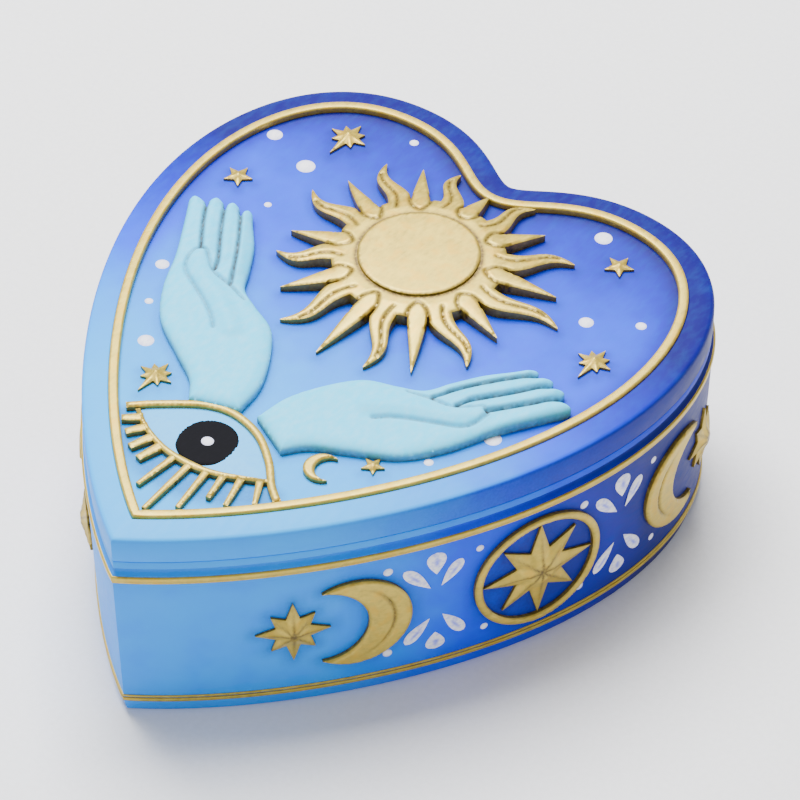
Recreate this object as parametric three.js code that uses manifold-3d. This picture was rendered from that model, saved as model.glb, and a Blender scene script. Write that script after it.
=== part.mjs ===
// Wind-up music box with a heart-shaped cast-resin case.
// Millimetres, +Z up. The origin is the centre of the footprint, on the surface that the plinth stands on,
// and the point of the heart faces -Y. The lid lifts straight up, and the winding key is under the floor.
import * as THREE from "three";
import { mergeVertices } from "three/addons/utils/BufferGeometryUtils.js";
import Module from "manifold-3d";

const wasm = await Module();
wasm.setup();

// ---------------------------------------------------------------- driving dimensions
// The outline of the case: half of it, from the point to the cleft, is three Bezier curves.
const LENGTH = 170;
const WIDTH = 150;
const TIP_HALF_ANGLE = THREE.MathUtils.degToRad(58);
const WIDEST_Y = LENGTH / 2 - 50;
const LOBE_TOP_X = WIDTH * 0.22;
const CLEFT_Y = LENGTH / 2 - 12;
const PULL = { tip: 37.5, side: 47.5, lobe: 27.5, lobeTop: 27.5, cleft: 19, cleftRound: 5 };
const STEPS = { side: 10, lobe: 8, cleft: 9 };

// Case heights and walls.
const BODY_HEIGHT = 52.4;
const FLOOR_TOP = 17;
const FLOOR_THICKNESS = 4;
const PLINTH = { height: 4, inset: 1.6, wall: 6.4 };
const WALL = { foot: 0.9, head: -0.3 };
const BEAD = { width: 0.8, height: 2.2 };
const MOULDING = { height: 6.4, step: 0.8, fillet: 2 };
const RIM = { inset: 0.2, wall: 6.8 };
const CHAMFER = 0.5;

// Lid.
const LID_GAP = 0.3;
const LID_EDGE_HEIGHT = 7.2;
const LID_MARGIN = 6.5;
const LID_MARGIN_RISE = 0.8;
const LID_BEAD_WIDTH = 2.1;
const LID_BEAD_RISE = 0.7;
const PANEL_DEPTH = 1;
const LID_PANEL_THICKNESS = 3.8;
const SPIGOT_DEPTH = 4;
const SPIGOT_WALL = 3;
const SPIGOT_CLEARANCE = 0.4;
const GLUE_GAP = 0.05;
const FELT = 0.8;

// Relief on the lid and round the sides.
const RELIEF_GAP = 0.3;
const SUN = { y: 34.5, disc: 15.3, root: 18.5, rise: 3, discRise: 2, bend: 1.5, straightHalf: 2.6, wavyHalf: 3.1 };
// Angle in degrees and reach of each ray, clockwise from the cleft: straight and wavy in turn.
const RAYS = [
  [90, 31], [71, 36.8], [54, 33], [36, 38.7], [16, 36.2], [2, 41.3], [-19, 33.8], [-36, 39.2], [-56, 39.5], [-73, 40],
  [-91, 40.8], [-112, 39.8], [-128, 35.5], [-150, 35.8], [-163, 34], [-189, 38.7], [-203, 35.7], [-221, 38.8],
  [-235, 35.2], [-251, 35.6],
];
const EYE = {
  x: -1.5, y: -45.8, halfWidth: 20.5, up: 10.5, down: 9, pupil: 7.6, band: 1.7, rise: 1.5, ballRise: 0.6,
};
const LASH = { count: 9, spacing: 5.1, longest: 27, shorter: 4.6, halfRoot: 1.1, gap: 0.5 };
const HAND = { rise: 2.2, bevel: 0.7, wristY: -34.5 };
const RIGHT_HAND = { x: 8, y: -35, heading: 53.4, turn: -4.8, stretch: 0.93 };
const STAR_RISE = 1.3;
const FRIEZE_RISE = 1.3;
const RING = { share: 0.411, radius: 17.6, band: 2.1 };

// Movement, in its own group: origin on the floor, cylinder along X.
const MOVEMENT_Y = 38;
const BED = { start: -27, past: 3, y: 36, z: 2.4 };
const BARREL = { x: -16.2, radius: 10.4, height: 8, wall: 0.8 };
const ARBOR_RADIUS = 1.5;
const RUNNING = 0.06;
const CROWN = { teeth: 32, radius: 9.1, toothLength: 2.4, disc: 1, tooth: 1, lift: 0.4 };
const PINION = { teeth: 12, width: 1.6 };
const DRUM = { radius: 6.4, length: 21, start: -3.6, tracks: 18, pinsPerTrack: 3, pin: 0.75, pinWidth: 0.45 };
const DRUM_ARBOR_RADIUS = 1;
const COMB = { length: 11.5, thickness: 0.9, slot: 0.28, tipGap: 0.2, shortest: 3.4, longest: 6.6 };
const MODULE = 0.4;
const GREAT_TEETH = 36;
const GOVERNOR_PINION_TEETH = 9;
const WORM_WHEEL_TEETH = 24;
const GOVERNOR_DROP = 5.25;
const WORM = { root: 1.05, outer: 1.8, pitchRadius: 1.45, turns: 4 };
const FLY = { radius: 3.9, height: 4.2, blade: 0.6, hub: 1.3, disc: 2.4, discHeight: 0.5 };
const SHEET = 1.2;
const COVER = { margin: 3.5, room: 0.25, wall: 1.4, headroom: 1.2, ear: 8, earHeight: 1.5 };
const PLUNGER = { radius: 1.2, foot: 2.2, footHeight: 1, pad: 0.8, gap: 0.15, cap: 3.4, capHeight: 1.2 };
const COIL = { radius: 2.5, wire: 0.3, turns: 5 };
const SPIRAL = { turns: 4, strip: 0.4, start: 2.4, height: 6 };
const KEY = { wing: 5, hub: 3, thickness: 1.8, hole: 2.2, spread: 6.2, clear: 1.2, hubHeight: 8.3 };
const SCREW = { radius: 1.5, head: 2.8, headHeight: 1.6 };
const SMALL_SCREW = { radius: 1, head: 1.9, headHeight: 1.1 };

// ---------------------------------------------------------------- values worked out from them
const LID_BOTTOM = BODY_HEIGHT + LID_GAP;
const LID_EDGE_TOP = LID_BOTTOM + LID_EDGE_HEIGHT;
const MARGIN_TOP = LID_EDGE_TOP + LID_MARGIN_RISE;
const PANEL_Z = MARGIN_TOP - PANEL_DEPTH;
const PANEL_INSET = LID_MARGIN + LID_BEAD_WIDTH;
const LID_UNDERSIDE = PANEL_Z - LID_PANEL_THICKNESS;
const CAVITY_INSET = RIM.inset + RIM.wall;
const SPIGOT_INSET = CAVITY_INSET + SPIGOT_CLEARANCE;
const FLOOR_UNDERSIDE = FLOOR_TOP - FLOOR_THICKNESS;
const MOULDING_Z = BODY_HEIGHT - MOULDING.height;
const FRIEZE_Z = (PLINTH.height + MOULDING_Z + BEAD.height) / 2;
// How much the relief shrinks when the case is made smaller than its own size.
const WIDE = WIDTH / 150;
const LONG = LENGTH / 170;
// The sun and the eye keep their shape.
const ROUND = Math.min(WIDE, LONG);
const shrunk = (geometry) => geometry.scale(ROUND, ROUND, 1);
const wallInset = (z) => THREE.MathUtils.mapLinear(z, PLINTH.height, MOULDING_Z, WALL.foot, WALL.head);

// ---------------------------------------------------------------- materials
const finish = (color, roughness, metalness = 0) =>
  new THREE.MeshStandardMaterial({ color, roughness, metalness });
const BLUE_RESIN = finish(0x5f9be6, 0.42);
const GILT = finish(0xc9a94f, 0.4, 0.6);
const PALE_BLUE = finish(0xa9dcf8, 0.5);
const BLACK_PAINT = finish(0x1b1b26, 0.35);
const FELT_BLUE = finish(0x1f2a6b, 0.95);
const ZINC = finish(0xb9bcc0, 0.4, 0.9);
const STEEL = finish(0xcfd2d6, 0.28, 1);
const BRASS = finish(0xd0a645, 0.3, 1);
const CLEAR_PLASTIC = new THREE.MeshStandardMaterial({
  color: 0xf4f8fa, roughness: 0.08, transparent: true, opacity: 0.3,
});
const PAD_FELT = finish(0xe6e0d2, 0.95);

// ---------------------------------------------------------------- solids
// A closed geometry as a manifold-3d solid, and back.
function toSolid(geometry) {
  const bare = geometry.clone();
  bare.deleteAttribute("normal");
  bare.deleteAttribute("uv");
  const merged = mergeVertices(bare, 1e-4);
  return new wasm.Manifold(
    new wasm.Mesh({
      numProp: 3,
      vertProperties: merged.attributes.position.array,
      triVerts: new Uint32Array(merged.index.array),
    }),
  );
}

function toGeometry(solid) {
  const mesh = solid.getMesh();
  return new THREE.BufferGeometry()
    .setAttribute("position", new THREE.BufferAttribute(mesh.vertProperties, 3))
    .setIndex(new THREE.BufferAttribute(mesh.triVerts, 1));
}

const join = (...pieces) => toGeometry(pieces.map(toSolid).reduce((a, b) => a.add(b)));
const cut = (piece, ...tools) =>
  toGeometry(tools.map(toSolid).reduce((a, b) => a.subtract(b), toSolid(piece)));
const clip = (piece, keep) => toGeometry(toSolid(piece).intersect(toSolid(keep)));

const box = (x0, x1, y0, y1, z0, z1) =>
  new THREE.BoxGeometry(x1 - x0, y1 - y0, z1 - z0).translate((x0 + x1) / 2, (y0 + y1) / 2, (z0 + z1) / 2);

// A cylinder along Z, from z0 to z1.
const rod = (radius, z0, z1, x = 0, y = 0, sides = 20) =>
  new THREE.CylinderGeometry(radius, radius, z1 - z0, sides)
    .rotateX(Math.PI / 2)
    .translate(x, y, (z0 + z1) / 2);

// A cylinder along X, from x0 to x1.
const axle = (radius, x0, x1, y = 0, z = 0, sides = 20) =>
  new THREE.CylinderGeometry(radius, radius, x1 - x0, sides)
    .rotateZ(Math.PI / 2)
    .translate((x0 + x1) / 2, y, z);

const prism = (shape, height, curveSegments = 8) =>
  new THREE.ExtrudeGeometry(shape, { depth: height, bevelEnabled: false, curveSegments });

const polygon = (points) => new THREE.Shape(points.map(([x, y]) => new THREE.Vector2(x, y)));

// A closed body from rings of equal length: the first ring is capped facing down, the last facing up.
function skin(rings) {
  const count = rings[0].length;
  const positions = rings.flat().flatMap((p) => [p.x, p.y, p.z]);
  const flat = (ring) => ring.map((p) => new THREE.Vector2(p.x, p.y));
  const last = (rings.length - 1) * count;
  const index = [];
  for (const [a, b, c] of THREE.ShapeUtils.triangulateShape(flat(rings[0]), [])) index.push(a, c, b);
  for (let ring = 0; ring < rings.length - 1; ring++) {
    for (let i = 0; i < count; i++) {
      const a = ring * count + i;
      const b = ring * count + ((i + 1) % count);
      index.push(a, b, b + count, a, b + count, a + count);
    }
  }
  for (const [a, b, c] of THREE.ShapeUtils.triangulateShape(flat(rings.at(-1)), [])) {
    index.push(last + a, last + b, last + c);
  }
  return new THREE.BufferGeometry()
    .setAttribute("position", new THREE.Float32BufferAttribute(positions, 3))
    .setIndex(index);
}

// ---------------------------------------------------------------- the heart
const point = (x, y) => new THREE.Vector2(x, y);
const TIP = point(0, -LENGTH / 2);
const WIDEST = point(WIDTH / 2, WIDEST_Y);
const LOBE_TOP = point(LOBE_TOP_X, LENGTH / 2);
const CURVES = {
  side: new THREE.CubicBezierCurve(
    TIP,
    point(Math.sin(TIP_HALF_ANGLE) * PULL.tip, TIP.y + Math.cos(TIP_HALF_ANGLE) * PULL.tip),
    point(WIDEST.x, WIDEST.y - PULL.side),
    WIDEST,
  ),
  lobe: new THREE.CubicBezierCurve(
    WIDEST,
    point(WIDEST.x, WIDEST.y + PULL.lobe),
    point(LOBE_TOP.x + PULL.lobeTop, LOBE_TOP.y),
    LOBE_TOP,
  ),
  cleft: new THREE.CubicBezierCurve(
    LOBE_TOP,
    point(LOBE_TOP.x - PULL.cleft, LOBE_TOP.y),
    point(PULL.cleftRound, CLEFT_Y),
    point(0, CLEFT_Y),
  ),
};

function insetPoint(curve, t, inset) {
  const p = curve.getPoint(t);
  const tangent = curve.getTangent(t);
  return point(p.x - tangent.y * inset, p.y + tangent.x * inset);
}

// Where the inset side curve meets the centre line, beyond the mitred point.
function startOfSide(inset) {
  let low = 0;
  let high = 0.6;
  for (let i = 0; i < 40; i++) {
    const middle = (low + high) / 2;
    if (insetPoint(CURVES.side, middle, inset).x < 0) low = middle;
    else high = middle;
  }
  return high;
}

// The heart's outline, moved in by inset all round, anticlockwise from the point.
function heart(inset) {
  const start = startOfSide(inset);
  const right = [];
  for (let i = 0; i <= STEPS.side; i++) {
    const t = start + ((1 - start) * i) / STEPS.side;
    right.push(insetPoint(CURVES.side, t, inset));
  }
  for (let i = 1; i <= STEPS.lobe; i++) right.push(insetPoint(CURVES.lobe, i / STEPS.lobe, inset));
  for (let i = 1; i <= STEPS.cleft; i++) right.push(insetPoint(CURVES.cleft, i / STEPS.cleft, inset));
  right[0].x = 0;
  right.at(-1).x = 0;
  const left = right.slice(1, -1).reverse().map((p) => point(-p.x, p.y));
  return [...right, ...left];
}

// A body with the heart's outline: each [inset, z] of the profile is one ring, from the lower cap to the upper.
const heartBody = (profile) =>
  skin(profile.map(([inset, z]) => heart(inset).map((p) => new THREE.Vector3(p.x, p.y, z))));

const heartPlate = (inset, z0, z1) => heartBody([[inset, z0], [inset, z1]]);

// The place on the side wall at a distance along the outline from the point, on the right for side +1.
const WALL_TABLE = (() => {
  const rows = [];
  let along = 0;
  let before = null;
  for (const curve of Object.values(CURVES)) {
    for (let i = 0; i <= 200; i++) {
      const p = curve.getPoint(i / 200);
      if (before) along += p.distanceTo(before);
      before = p;
      rows.push({ along, p, tangent: curve.getTangent(i / 200) });
    }
  }
  return rows;
})();

function onWall(along, z, inset, side) {
  const next = Math.max(1, WALL_TABLE.findIndex((row) => row.along >= along));
  const [a, b] = [WALL_TABLE[next - 1], WALL_TABLE[next]];
  const share = (along - a.along) / Math.max(1e-9, b.along - a.along);
  const p = a.p.clone().lerp(b.p, share);
  const tangent = a.tangent.clone().lerp(b.tangent, share).normalize();
  return new THREE.Vector3(side * (p.x - tangent.y * inset), p.y + tangent.x * inset, z);
}

// Bends a flat relief onto the wall: its x runs along the outline, its y up, its z out of the wall.
function wrapped(geometry, along, side) {
  const bent = geometry.index ? geometry.clone() : mergeVertices(geometry);
  const position = bent.attributes.position;
  for (let i = 0; i < position.count; i++) {
    const p = new THREE.Vector3().fromBufferAttribute(position, i);
    const z = FRIEZE_Z + p.y;
    const place = onWall(along + p.x, z, wallInset(z) - RELIEF_GAP - p.z, side);
    position.setXYZ(i, place.x, place.y, place.z);
  }
  if (side < 0) {
    const index = bent.index.array;
    for (let i = 0; i < index.length; i += 3) [index[i + 1], index[i + 2]] = [index[i + 2], index[i + 1]];
  }
  return cut(bent, heartBody([[WALL.foot - GLUE_GAP, PLINTH.height], [WALL.head - GLUE_GAP, MOULDING_Z]]));
}

// ---------------------------------------------------------------- relief shapes
// A faceted star: points is a list of radii, one for each ray, from straight up and clockwise.
function star(radii, waist, edge, peak) {
  const outline = [];
  radii.forEach((radius, i) => {
    for (const [r, turn] of [[radius, i], [waist, i + 0.5]]) {
      const angle = Math.PI / 2 - (turn * 2 * Math.PI) / radii.length;
      outline.unshift([r * Math.cos(angle), r * Math.sin(angle)]);
    }
  });
  const count = outline.length;
  const positions = [];
  for (const z of [0, edge]) for (const [x, y] of outline) positions.push(x, y, z);
  positions.push(0, 0, 0, 0, 0, peak);
  const [bottom, top] = [2 * count, 2 * count + 1];
  const index = [];
  for (let i = 0; i < count; i++) {
    const j = (i + 1) % count;
    index.push(bottom, j, i, i, j, count + j, i, count + j, count + i, top, count + i, count + j);
  }
  return new THREE.BufferGeometry()
    .setAttribute("position", new THREE.Float32BufferAttribute(positions, 3))
    .setIndex(index);
}

// A crescent of two arcs, opening towards -X: outer circle at the origin, inner circle moved by shift.
function crescent(radius, innerRadius, shift, height, steps = 9) {
  const meetX = (radius ** 2 - innerRadius ** 2 + shift ** 2) / (2 * shift);
  const outerEnd = Math.acos(meetX / radius);
  const innerEnd = Math.acos((meetX - shift) / innerRadius);
  const shape = new THREE.Shape();
  shape.absarc(0, 0, radius, -outerEnd, outerEnd, false);
  shape.absarc(shift, 0, innerRadius, innerEnd, -innerEnd, true);
  return prism(shape, height, steps);
}

// Radii of an eight-pointed star whose slanting points are shorter by share.
const eightPoints = (radius, share) => Array.from({ length: 8 }, (_, i) => radius * (i % 2 ? share : 1));

// The ring and the eight-pointed star inside it, cast as one.
function ringStar() {
  const ring = new THREE.Shape().absarc(0, 0, RING.radius, 0, 2 * Math.PI);
  ring.holes.push(new THREE.Path().absarc(0, 0, RING.radius - RING.band, 0, 2 * Math.PI, true));
  const reach = RING.radius - RING.band / 2;
  const compass = star(eightPoints(reach, 0.93), RING.radius * 0.38, FRIEZE_RISE * 0.5, FRIEZE_RISE * 1.3);
  return join(prism(ring, FRIEZE_RISE, 16), compass);
}

// Straight and wavy rays in turn; a wavy ray bends first clockwise and then back.
function sunRays() {
  const outline = [];
  RAYS.forEach(([degrees, reach], i) => {
    const wavy = i % 2 === 1;
    const nominal = Math.PI / 2 - (i * 2 * Math.PI) / RAYS.length;
    const towards = THREE.MathUtils.degToRad(degrees);
    const half = wavy ? SUN.wavyHalf : SUN.straightHalf;
    const edge = (side, share) => {
      const radius = SUN.root + (reach - SUN.root) * share;
      const bend = wavy ? -SUN.bend * Math.sin(2 * Math.PI * share) : 0;
      const angle = nominal + (towards - nominal) * share + (bend + side * half * (1 - share * 0.94)) / radius;
      return [radius * Math.cos(angle), radius * Math.sin(angle)];
    };
    const shares = wavy ? [0, 0.25, 0.5, 0.75, 1] : [0, 1];
    for (const share of shares) outline.push(edge(1, share));
    for (const share of [...shares].reverse()) outline.push(edge(-1, share));
  });
  const rays = shrunk(prism(polygon(outline.reverse()), SUN.rise)).translate(0, SUN.y * LONG, PANEL_Z + GLUE_GAP);
  return onThePanel(rays);
}

// Keeps a piece of relief inside the lid's bead.
const onThePanel = (piece) => clip(piece, heartPlate(PANEL_INSET + RELIEF_GAP, PANEL_Z, PANEL_Z + 3 * SUN.rise));

function mirrored(geometry) {
  const copy = geometry.index ? geometry.clone() : mergeVertices(geometry);
  copy.scale(-1, 1, 1);
  const index = copy.index.array;
  for (let i = 0; i < index.length; i += 3) [index[i + 1], index[i + 2]] = [index[i + 2], index[i + 1]];
  return copy;
}

// The left hand, palm up: from the wrist out along its edge, over four fingertips, and back inside.
function handFlesh() {
  const through = (points) => points.map(([x, y]) => point(x, y));
  const shape = new THREE.Shape();
  shape.moveTo(-1.5, HAND.wristY);
  shape.lineTo(-14, HAND.wristY - 1);
  shape.splineThru(through([[-27, -27.5], [-38, -19.5], [-45, -9.5], [-50, 2.5], [-56, 13.5], [-59.5, 21]]));
  for (const [x, y] of [[-55.5, 23.5], [-51, 25], [-46.5, 25.8], [-42.5, 24.5]]) {
    shape.quadraticCurveTo(x - 2.6, y + 1.6, x, y);
  }
  shape.splineThru(through([[-36, 17], [-30, 6.5], [-22, -1.5], [-14, -5.5], [-8, -13.5], [-3, -23.5]]));
  shape.lineTo(-1.5, HAND.wristY);
  const flesh = new THREE.ExtrudeGeometry(shape, {
    depth: HAND.rise - HAND.bevel,
    bevelThickness: HAND.bevel,
    bevelSize: HAND.bevel,
    bevelOffset: -HAND.bevel,
    bevelSegments: 1,
    curveSegments: 3,
  });
  return flesh.scale(WIDE, LONG, 1).translate(0, 0, PANEL_Z + GLUE_GAP + HAND.bevel);
}

const seated = (hand) =>
  onThePanel(clip(hand, box(-WIDTH, WIDTH, -LENGTH, LENGTH, PANEL_Z + GLUE_GAP, BODY_HEIGHT * 2)));
const leftHand = () => seated(handFlesh());

// The right hand mirrors the left, turned a little about its wrist and shorter.
function rightHand() {
  const { x, y, heading, turn, stretch } = RIGHT_HAND;
  const flesh = mirrored(handFlesh())
    .translate(-x * WIDE, -y * LONG, 0)
    .rotateZ(THREE.MathUtils.degToRad(-heading))
    .scale(stretch, 1, 1)
    .rotateZ(THREE.MathUtils.degToRad(heading + turn))
    .translate(x * WIDE, y * LONG, 0);
  return cut(seated(flesh), growth(leftHand()));
}

// A piece grown sideways a little, to keep its neighbour clear of it.
const growth = (piece) => join(...[[0.2, 0], [0.2, 0.2], [0, -0.2]].map(([x, y]) => piece.clone().translate(x, y, 0)));

// The almond outline of the eye, grown by more all round.
function almond(more) {
  const shape = new THREE.Shape();
  const half = EYE.halfWidth + more * 1.6;
  const bend = half * 0.5;
  shape.moveTo(-half, 0);
  shape.bezierCurveTo(-bend, -(EYE.down + more) * 1.32, bend, -(EYE.down + more) * 1.32, half, 0);
  shape.bezierCurveTo(bend, (EYE.up + more) * 1.32, -bend, (EYE.up + more) * 1.32, -half, 0);
  return shape;
}

const onPanel = (geometry, x, y) => geometry.translate(x, y, PANEL_Z + GLUE_GAP);
const onEye = (geometry) => onPanel(shrunk(geometry), EYE.x * WIDE, EYE.y * LONG);

function eyeFrame() {
  const shape = almond(0);
  shape.holes.push(new THREE.Path(almond(-EYE.band).getPoints(9).reverse()));
  return onEye(prism(shape, EYE.rise, 9));
}

function eyeBall() {
  const ball = prism(almond(-EYE.band - RELIEF_GAP), EYE.ballRise, 7);
  return onEye(cut(ball, rod(EYE.pupil + RELIEF_GAP, -1, EYE.ballRise + 1, 0, 0, 28)));
}

function eyePupil() {
  const height = EYE.ballRise * 1.5;
  const opening = prism(almond(-EYE.band - RELIEF_GAP), height, 9);
  return onEye(clip(rod(EYE.pupil, 0, height, 0, 0, 28), opening));
}

// The lashes fan out below the eye, longest in the middle, and join along the lower lid.
function eyeLashes() {
  const middle = (LASH.count - 1) / 2;
  const lid = (x) => -(EYE.down + LASH.gap) * (1 - (x / (EYE.halfWidth + 3)) ** 2) - LASH.gap;
  const lower = [];
  for (let i = -middle; i <= middle; i++) {
    const root = i * LASH.spacing * 0.86;
    const outside = (x) => lid(x) - 1;
    lower.push([root - LASH.halfRoot, outside(root - LASH.halfRoot)]);
    lower.push([i * LASH.spacing, -LASH.longest + LASH.shorter * Math.abs(i)]);
    lower.push([root + LASH.halfRoot, outside(root + LASH.halfRoot)]);
  }
  const upper = lower.filter((p, i) => i % 3 !== 1).reverse().map(([x]) => [x, lid(x)]);
  return onThePanel(onEye(prism(polygon([...lower, ...upper]), EYE.rise * 0.7)));
}

// Small stars and a moon on the panel: [name, points, radius, x, y].
const PANEL_STARS = [
  ["sky_star_1", 8, 5.4, -44, 63],
  ["sky_star_2", 8, 4.8, 55, 32],
  ["sky_star_3", 8, 4.8, -27, -35.5],
  ["sky_star_4", 5, 3.9, 40, 64],
  ["sky_star_5", 5, 3.9, -57, 34],
  ["sky_star_6", 5, 3, 34, -29],
];
const LONG_POINT = 1.45;

function panelStar(points, radius, x, y) {
  const radii = points === 8 ? eightPoints(radius, 0.8) : Array(points).fill(radius);
  if (points === 8) radii[4] *= LONG_POINT;
  return onPanel(star(radii, radius * 0.48, STAR_RISE * 0.35, STAR_RISE), x * WIDE, y * LONG);
}

// ---------------------------------------------------------------- case
const caseBody = () => {
  const beadTop = MOULDING_Z + BEAD.height;
  const shell = heartBody([
    [PLINTH.inset + PLINTH.wall, FLOOR_UNDERSIDE],
    [PLINTH.inset + PLINTH.wall, 0],
    [PLINTH.inset + CHAMFER, 0],
    [PLINTH.inset, CHAMFER],
    [WALL.foot, PLINTH.height],
    [WALL.head, MOULDING_Z],
    [WALL.head, beadTop],
    [MOULDING.step, BODY_HEIGHT - MOULDING.fillet - CHAMFER],
    [RIM.inset, BODY_HEIGHT - MOULDING.fillet],
    [RIM.inset, BODY_HEIGHT],
    [CAVITY_INSET, BODY_HEIGHT],
    [CAVITY_INSET, FLOOR_TOP],
  ]);
  const drill = (radius, [x, y]) => rod(radius, FLOOR_UNDERSIDE - 1, FLOOR_TOP + 1, x, y + MOVEMENT_Y, 20);
  return cut(
    shell,
    drill(ARBOR_RADIUS * 1.5, [BARREL.x, 0]),
    ...BED_SCREWS.map((place) => drill(SCREW.radius + RUNNING, place)),
    ...COVER_SCREWS.map((place) => drill(SMALL_SCREW.radius + RUNNING, place)),
  );
};

const caseLid = () =>
  heartBody([
    [SPIGOT_INSET + SPIGOT_WALL, LID_UNDERSIDE],
    [SPIGOT_INSET + SPIGOT_WALL, LID_BOTTOM - SPIGOT_DEPTH],
    [SPIGOT_INSET, LID_BOTTOM - SPIGOT_DEPTH],
    [SPIGOT_INSET, LID_BOTTOM],
    [CHAMFER, LID_BOTTOM],
    [0, LID_BOTTOM + CHAMFER],
    [0, LID_EDGE_TOP - CHAMFER],
    [CHAMFER, LID_EDGE_TOP],
    [LID_MARGIN, MARGIN_TOP],
    [LID_MARGIN, PANEL_Z],
  ]);

// A gilt bead that runs right round: an open band with a rounded outer face.
function bead(outer, inner, z0, z1) {
  const soft = (z1 - z0) * 0.3;
  const band = heartBody([[outer + soft, z0], [outer, z0 + soft], [outer, z1 - soft], [outer + soft, z1]]);
  return cut(band, heartPlate(inner, z0 - 1, z1 + 1));
}

function beadOnWall(z) {
  const inset = Math.max(WALL.head, wallInset(z + BEAD.height));
  return bead(inset - BEAD.width, inset - GLUE_GAP, z + GLUE_GAP, z + BEAD.height);
}

const lidBead = () =>
  bead(LID_MARGIN + RELIEF_GAP, PANEL_INSET, PANEL_Z + GLUE_GAP, MARGIN_TOP + LID_BEAD_RISE);

const liningPlate = () => {
  const top = FLOOR_TOP + FELT;
  const middle = (COVER_START + COVER_END) / 2;
  const well = (x, y) => box(middle - x, middle + x, MOVEMENT_Y - y, MOVEMENT_Y + y, FLOOR_TOP - 1, top + 1);
  return cut(
    heartPlate(CAVITY_INSET + RELIEF_GAP, FLOOR_TOP + GLUE_GAP, top),
    well((COVER_END - COVER_START) / 2 + RELIEF_GAP, COVER_Y + RELIEF_GAP),
    well((COVER_END - COVER_START) / 2 + COVER.ear + RELIEF_GAP, COVER.ear / 2 + RELIEF_GAP),
  );
};

// ---------------------------------------------------------------- movement
// Heights and places in the movement's own frame.
const CROWN_Z = BED.z + BARREL.height + CROWN.lift;
const CROWN_PITCH_RADIUS = CROWN.radius - CROWN.toothLength / 2;
const CROWN_MODULE = (2 * CROWN_PITCH_RADIUS) / CROWN.teeth;
const PITCH_PLANE = CROWN_Z + CROWN.disc + CROWN.tooth * 0.6;
const DRUM_Z = PITCH_PLANE + (CROWN_MODULE * PINION.teeth) / 2;
const PINION_X = BARREL.x + CROWN_PITCH_RADIUS;
const POST_X = DRUM.start - SHEET - 0.5;
const DRUM_END = DRUM.start + DRUM.length;
const GREAT_X = DRUM_END + 0.5;
const FRAME_X = GREAT_X + 2 * SHEET;
const FRAME_WIDTH = 6.4;
const WORM_X = FRAME_X + FRAME_WIDTH / 2;
const CENTRES = (MODULE * (GREAT_TEETH + GOVERNOR_PINION_TEETH)) / 2;
const GOVERNOR_Y = Math.sqrt(CENTRES ** 2 - GOVERNOR_DROP ** 2);
const GOVERNOR_Z = DRUM_Z - GOVERNOR_DROP;
const WORM_WHEEL_RADIUS = (MODULE * WORM_WHEEL_TEETH) / 2;
const WORM_Y = GOVERNOR_Y + WORM_WHEEL_RADIUS + WORM.pitchRadius;
const WORM_PITCH = Math.PI * MODULE;
const WORM_HALF = (WORM.turns * WORM_PITCH) / 2;
const BRIDGE_Z = GOVERNOR_Z + WORM_HALF + 1;
const FLY_Z = BRIDGE_Z + SHEET + 0.6;
const FLY_TOP = FLY_Z + FLY.height + FLY.discHeight;
const FOOT_Z = FLY_TOP + PLUNGER.gap + PLUNGER.pad;
const COVER_INSIDE = FOOT_Z + PLUNGER.footHeight + COVER.headroom;
const COVER_TOP = COVER_INSIDE + COVER.wall;
const CAP_TOP = LID_UNDERSIDE - FLOOR_TOP - PLUNGER.gap;
const GOVERNOR_ARBOR_RADIUS = 0.7;
const WORM_ARBOR_RADIUS = 0.6;
const COMB_TIP_Y = -(DRUM.radius + DRUM.pin + COMB.tipGap);
const COMB_HEEL_Y = COMB_TIP_Y - COMB.length;
const LEDGE_DEPTH = COMB.length - COMB.longest - 0.6;
const BED_END = FRAME_X + FRAME_WIDTH + BED.past;
const COVER_START = BED.start - COVER.margin;
const COVER_Y = Math.max(BED.y / 2, -COMB_HEEL_Y) + COVER.room + COVER.wall;
const COVER_END = BED_END + COVER.margin;
const BED_SCREWS = [[BED.start + 4, 14], [BED.start + 4, -14], [BED_END - 8, -8]];
const COVER_SCREWS = [[COVER_START - COVER.ear / 2, 0], [COVER_END + COVER.ear / 2, 0]];
const COMB_SCREWS = [0.2, 0.8].map((share) => [DRUM.start + share * DRUM.length, COMB_HEEL_Y + LEDGE_DEPTH / 2]);

// A toothed outline with its middle tooth pointing along +X.
function toothed(teeth, module, bore) {
  const shape = new THREE.Shape();
  const pitch = (2 * Math.PI) / teeth;
  const middle = (teeth * module) / 2;
  const corners = [[-1.15, -0.3], [0.85, -0.13], [0.85, 0.13], [-1.15, 0.3]];
  for (let i = 0; i < teeth; i++) {
    for (const [rise, turn] of corners) {
      const radius = middle + rise * module;
      const angle = (i + turn) * pitch;
      const place = [radius * Math.cos(angle), radius * Math.sin(angle)];
      if (i === 0 && turn === -0.3) shape.moveTo(...place);
      else shape.lineTo(...place);
    }
  }
  shape.closePath();
  shape.holes.push(new THREE.Path().absarc(0, 0, bore, 0, 2 * Math.PI, true));
  return shape;
}

// A gear on an axle along X, with a tooth that points at angle towards, measured from +Y to +Z.
const gear = (teeth, module, bore, x0, x1, y, z, towards) =>
  prism(toothed(teeth, module, bore), x1 - x0, 10)
    .rotateZ(towards + Math.PI / 2)
    .rotateY(Math.PI / 2)
    .translate(x0, y, z);

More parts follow.
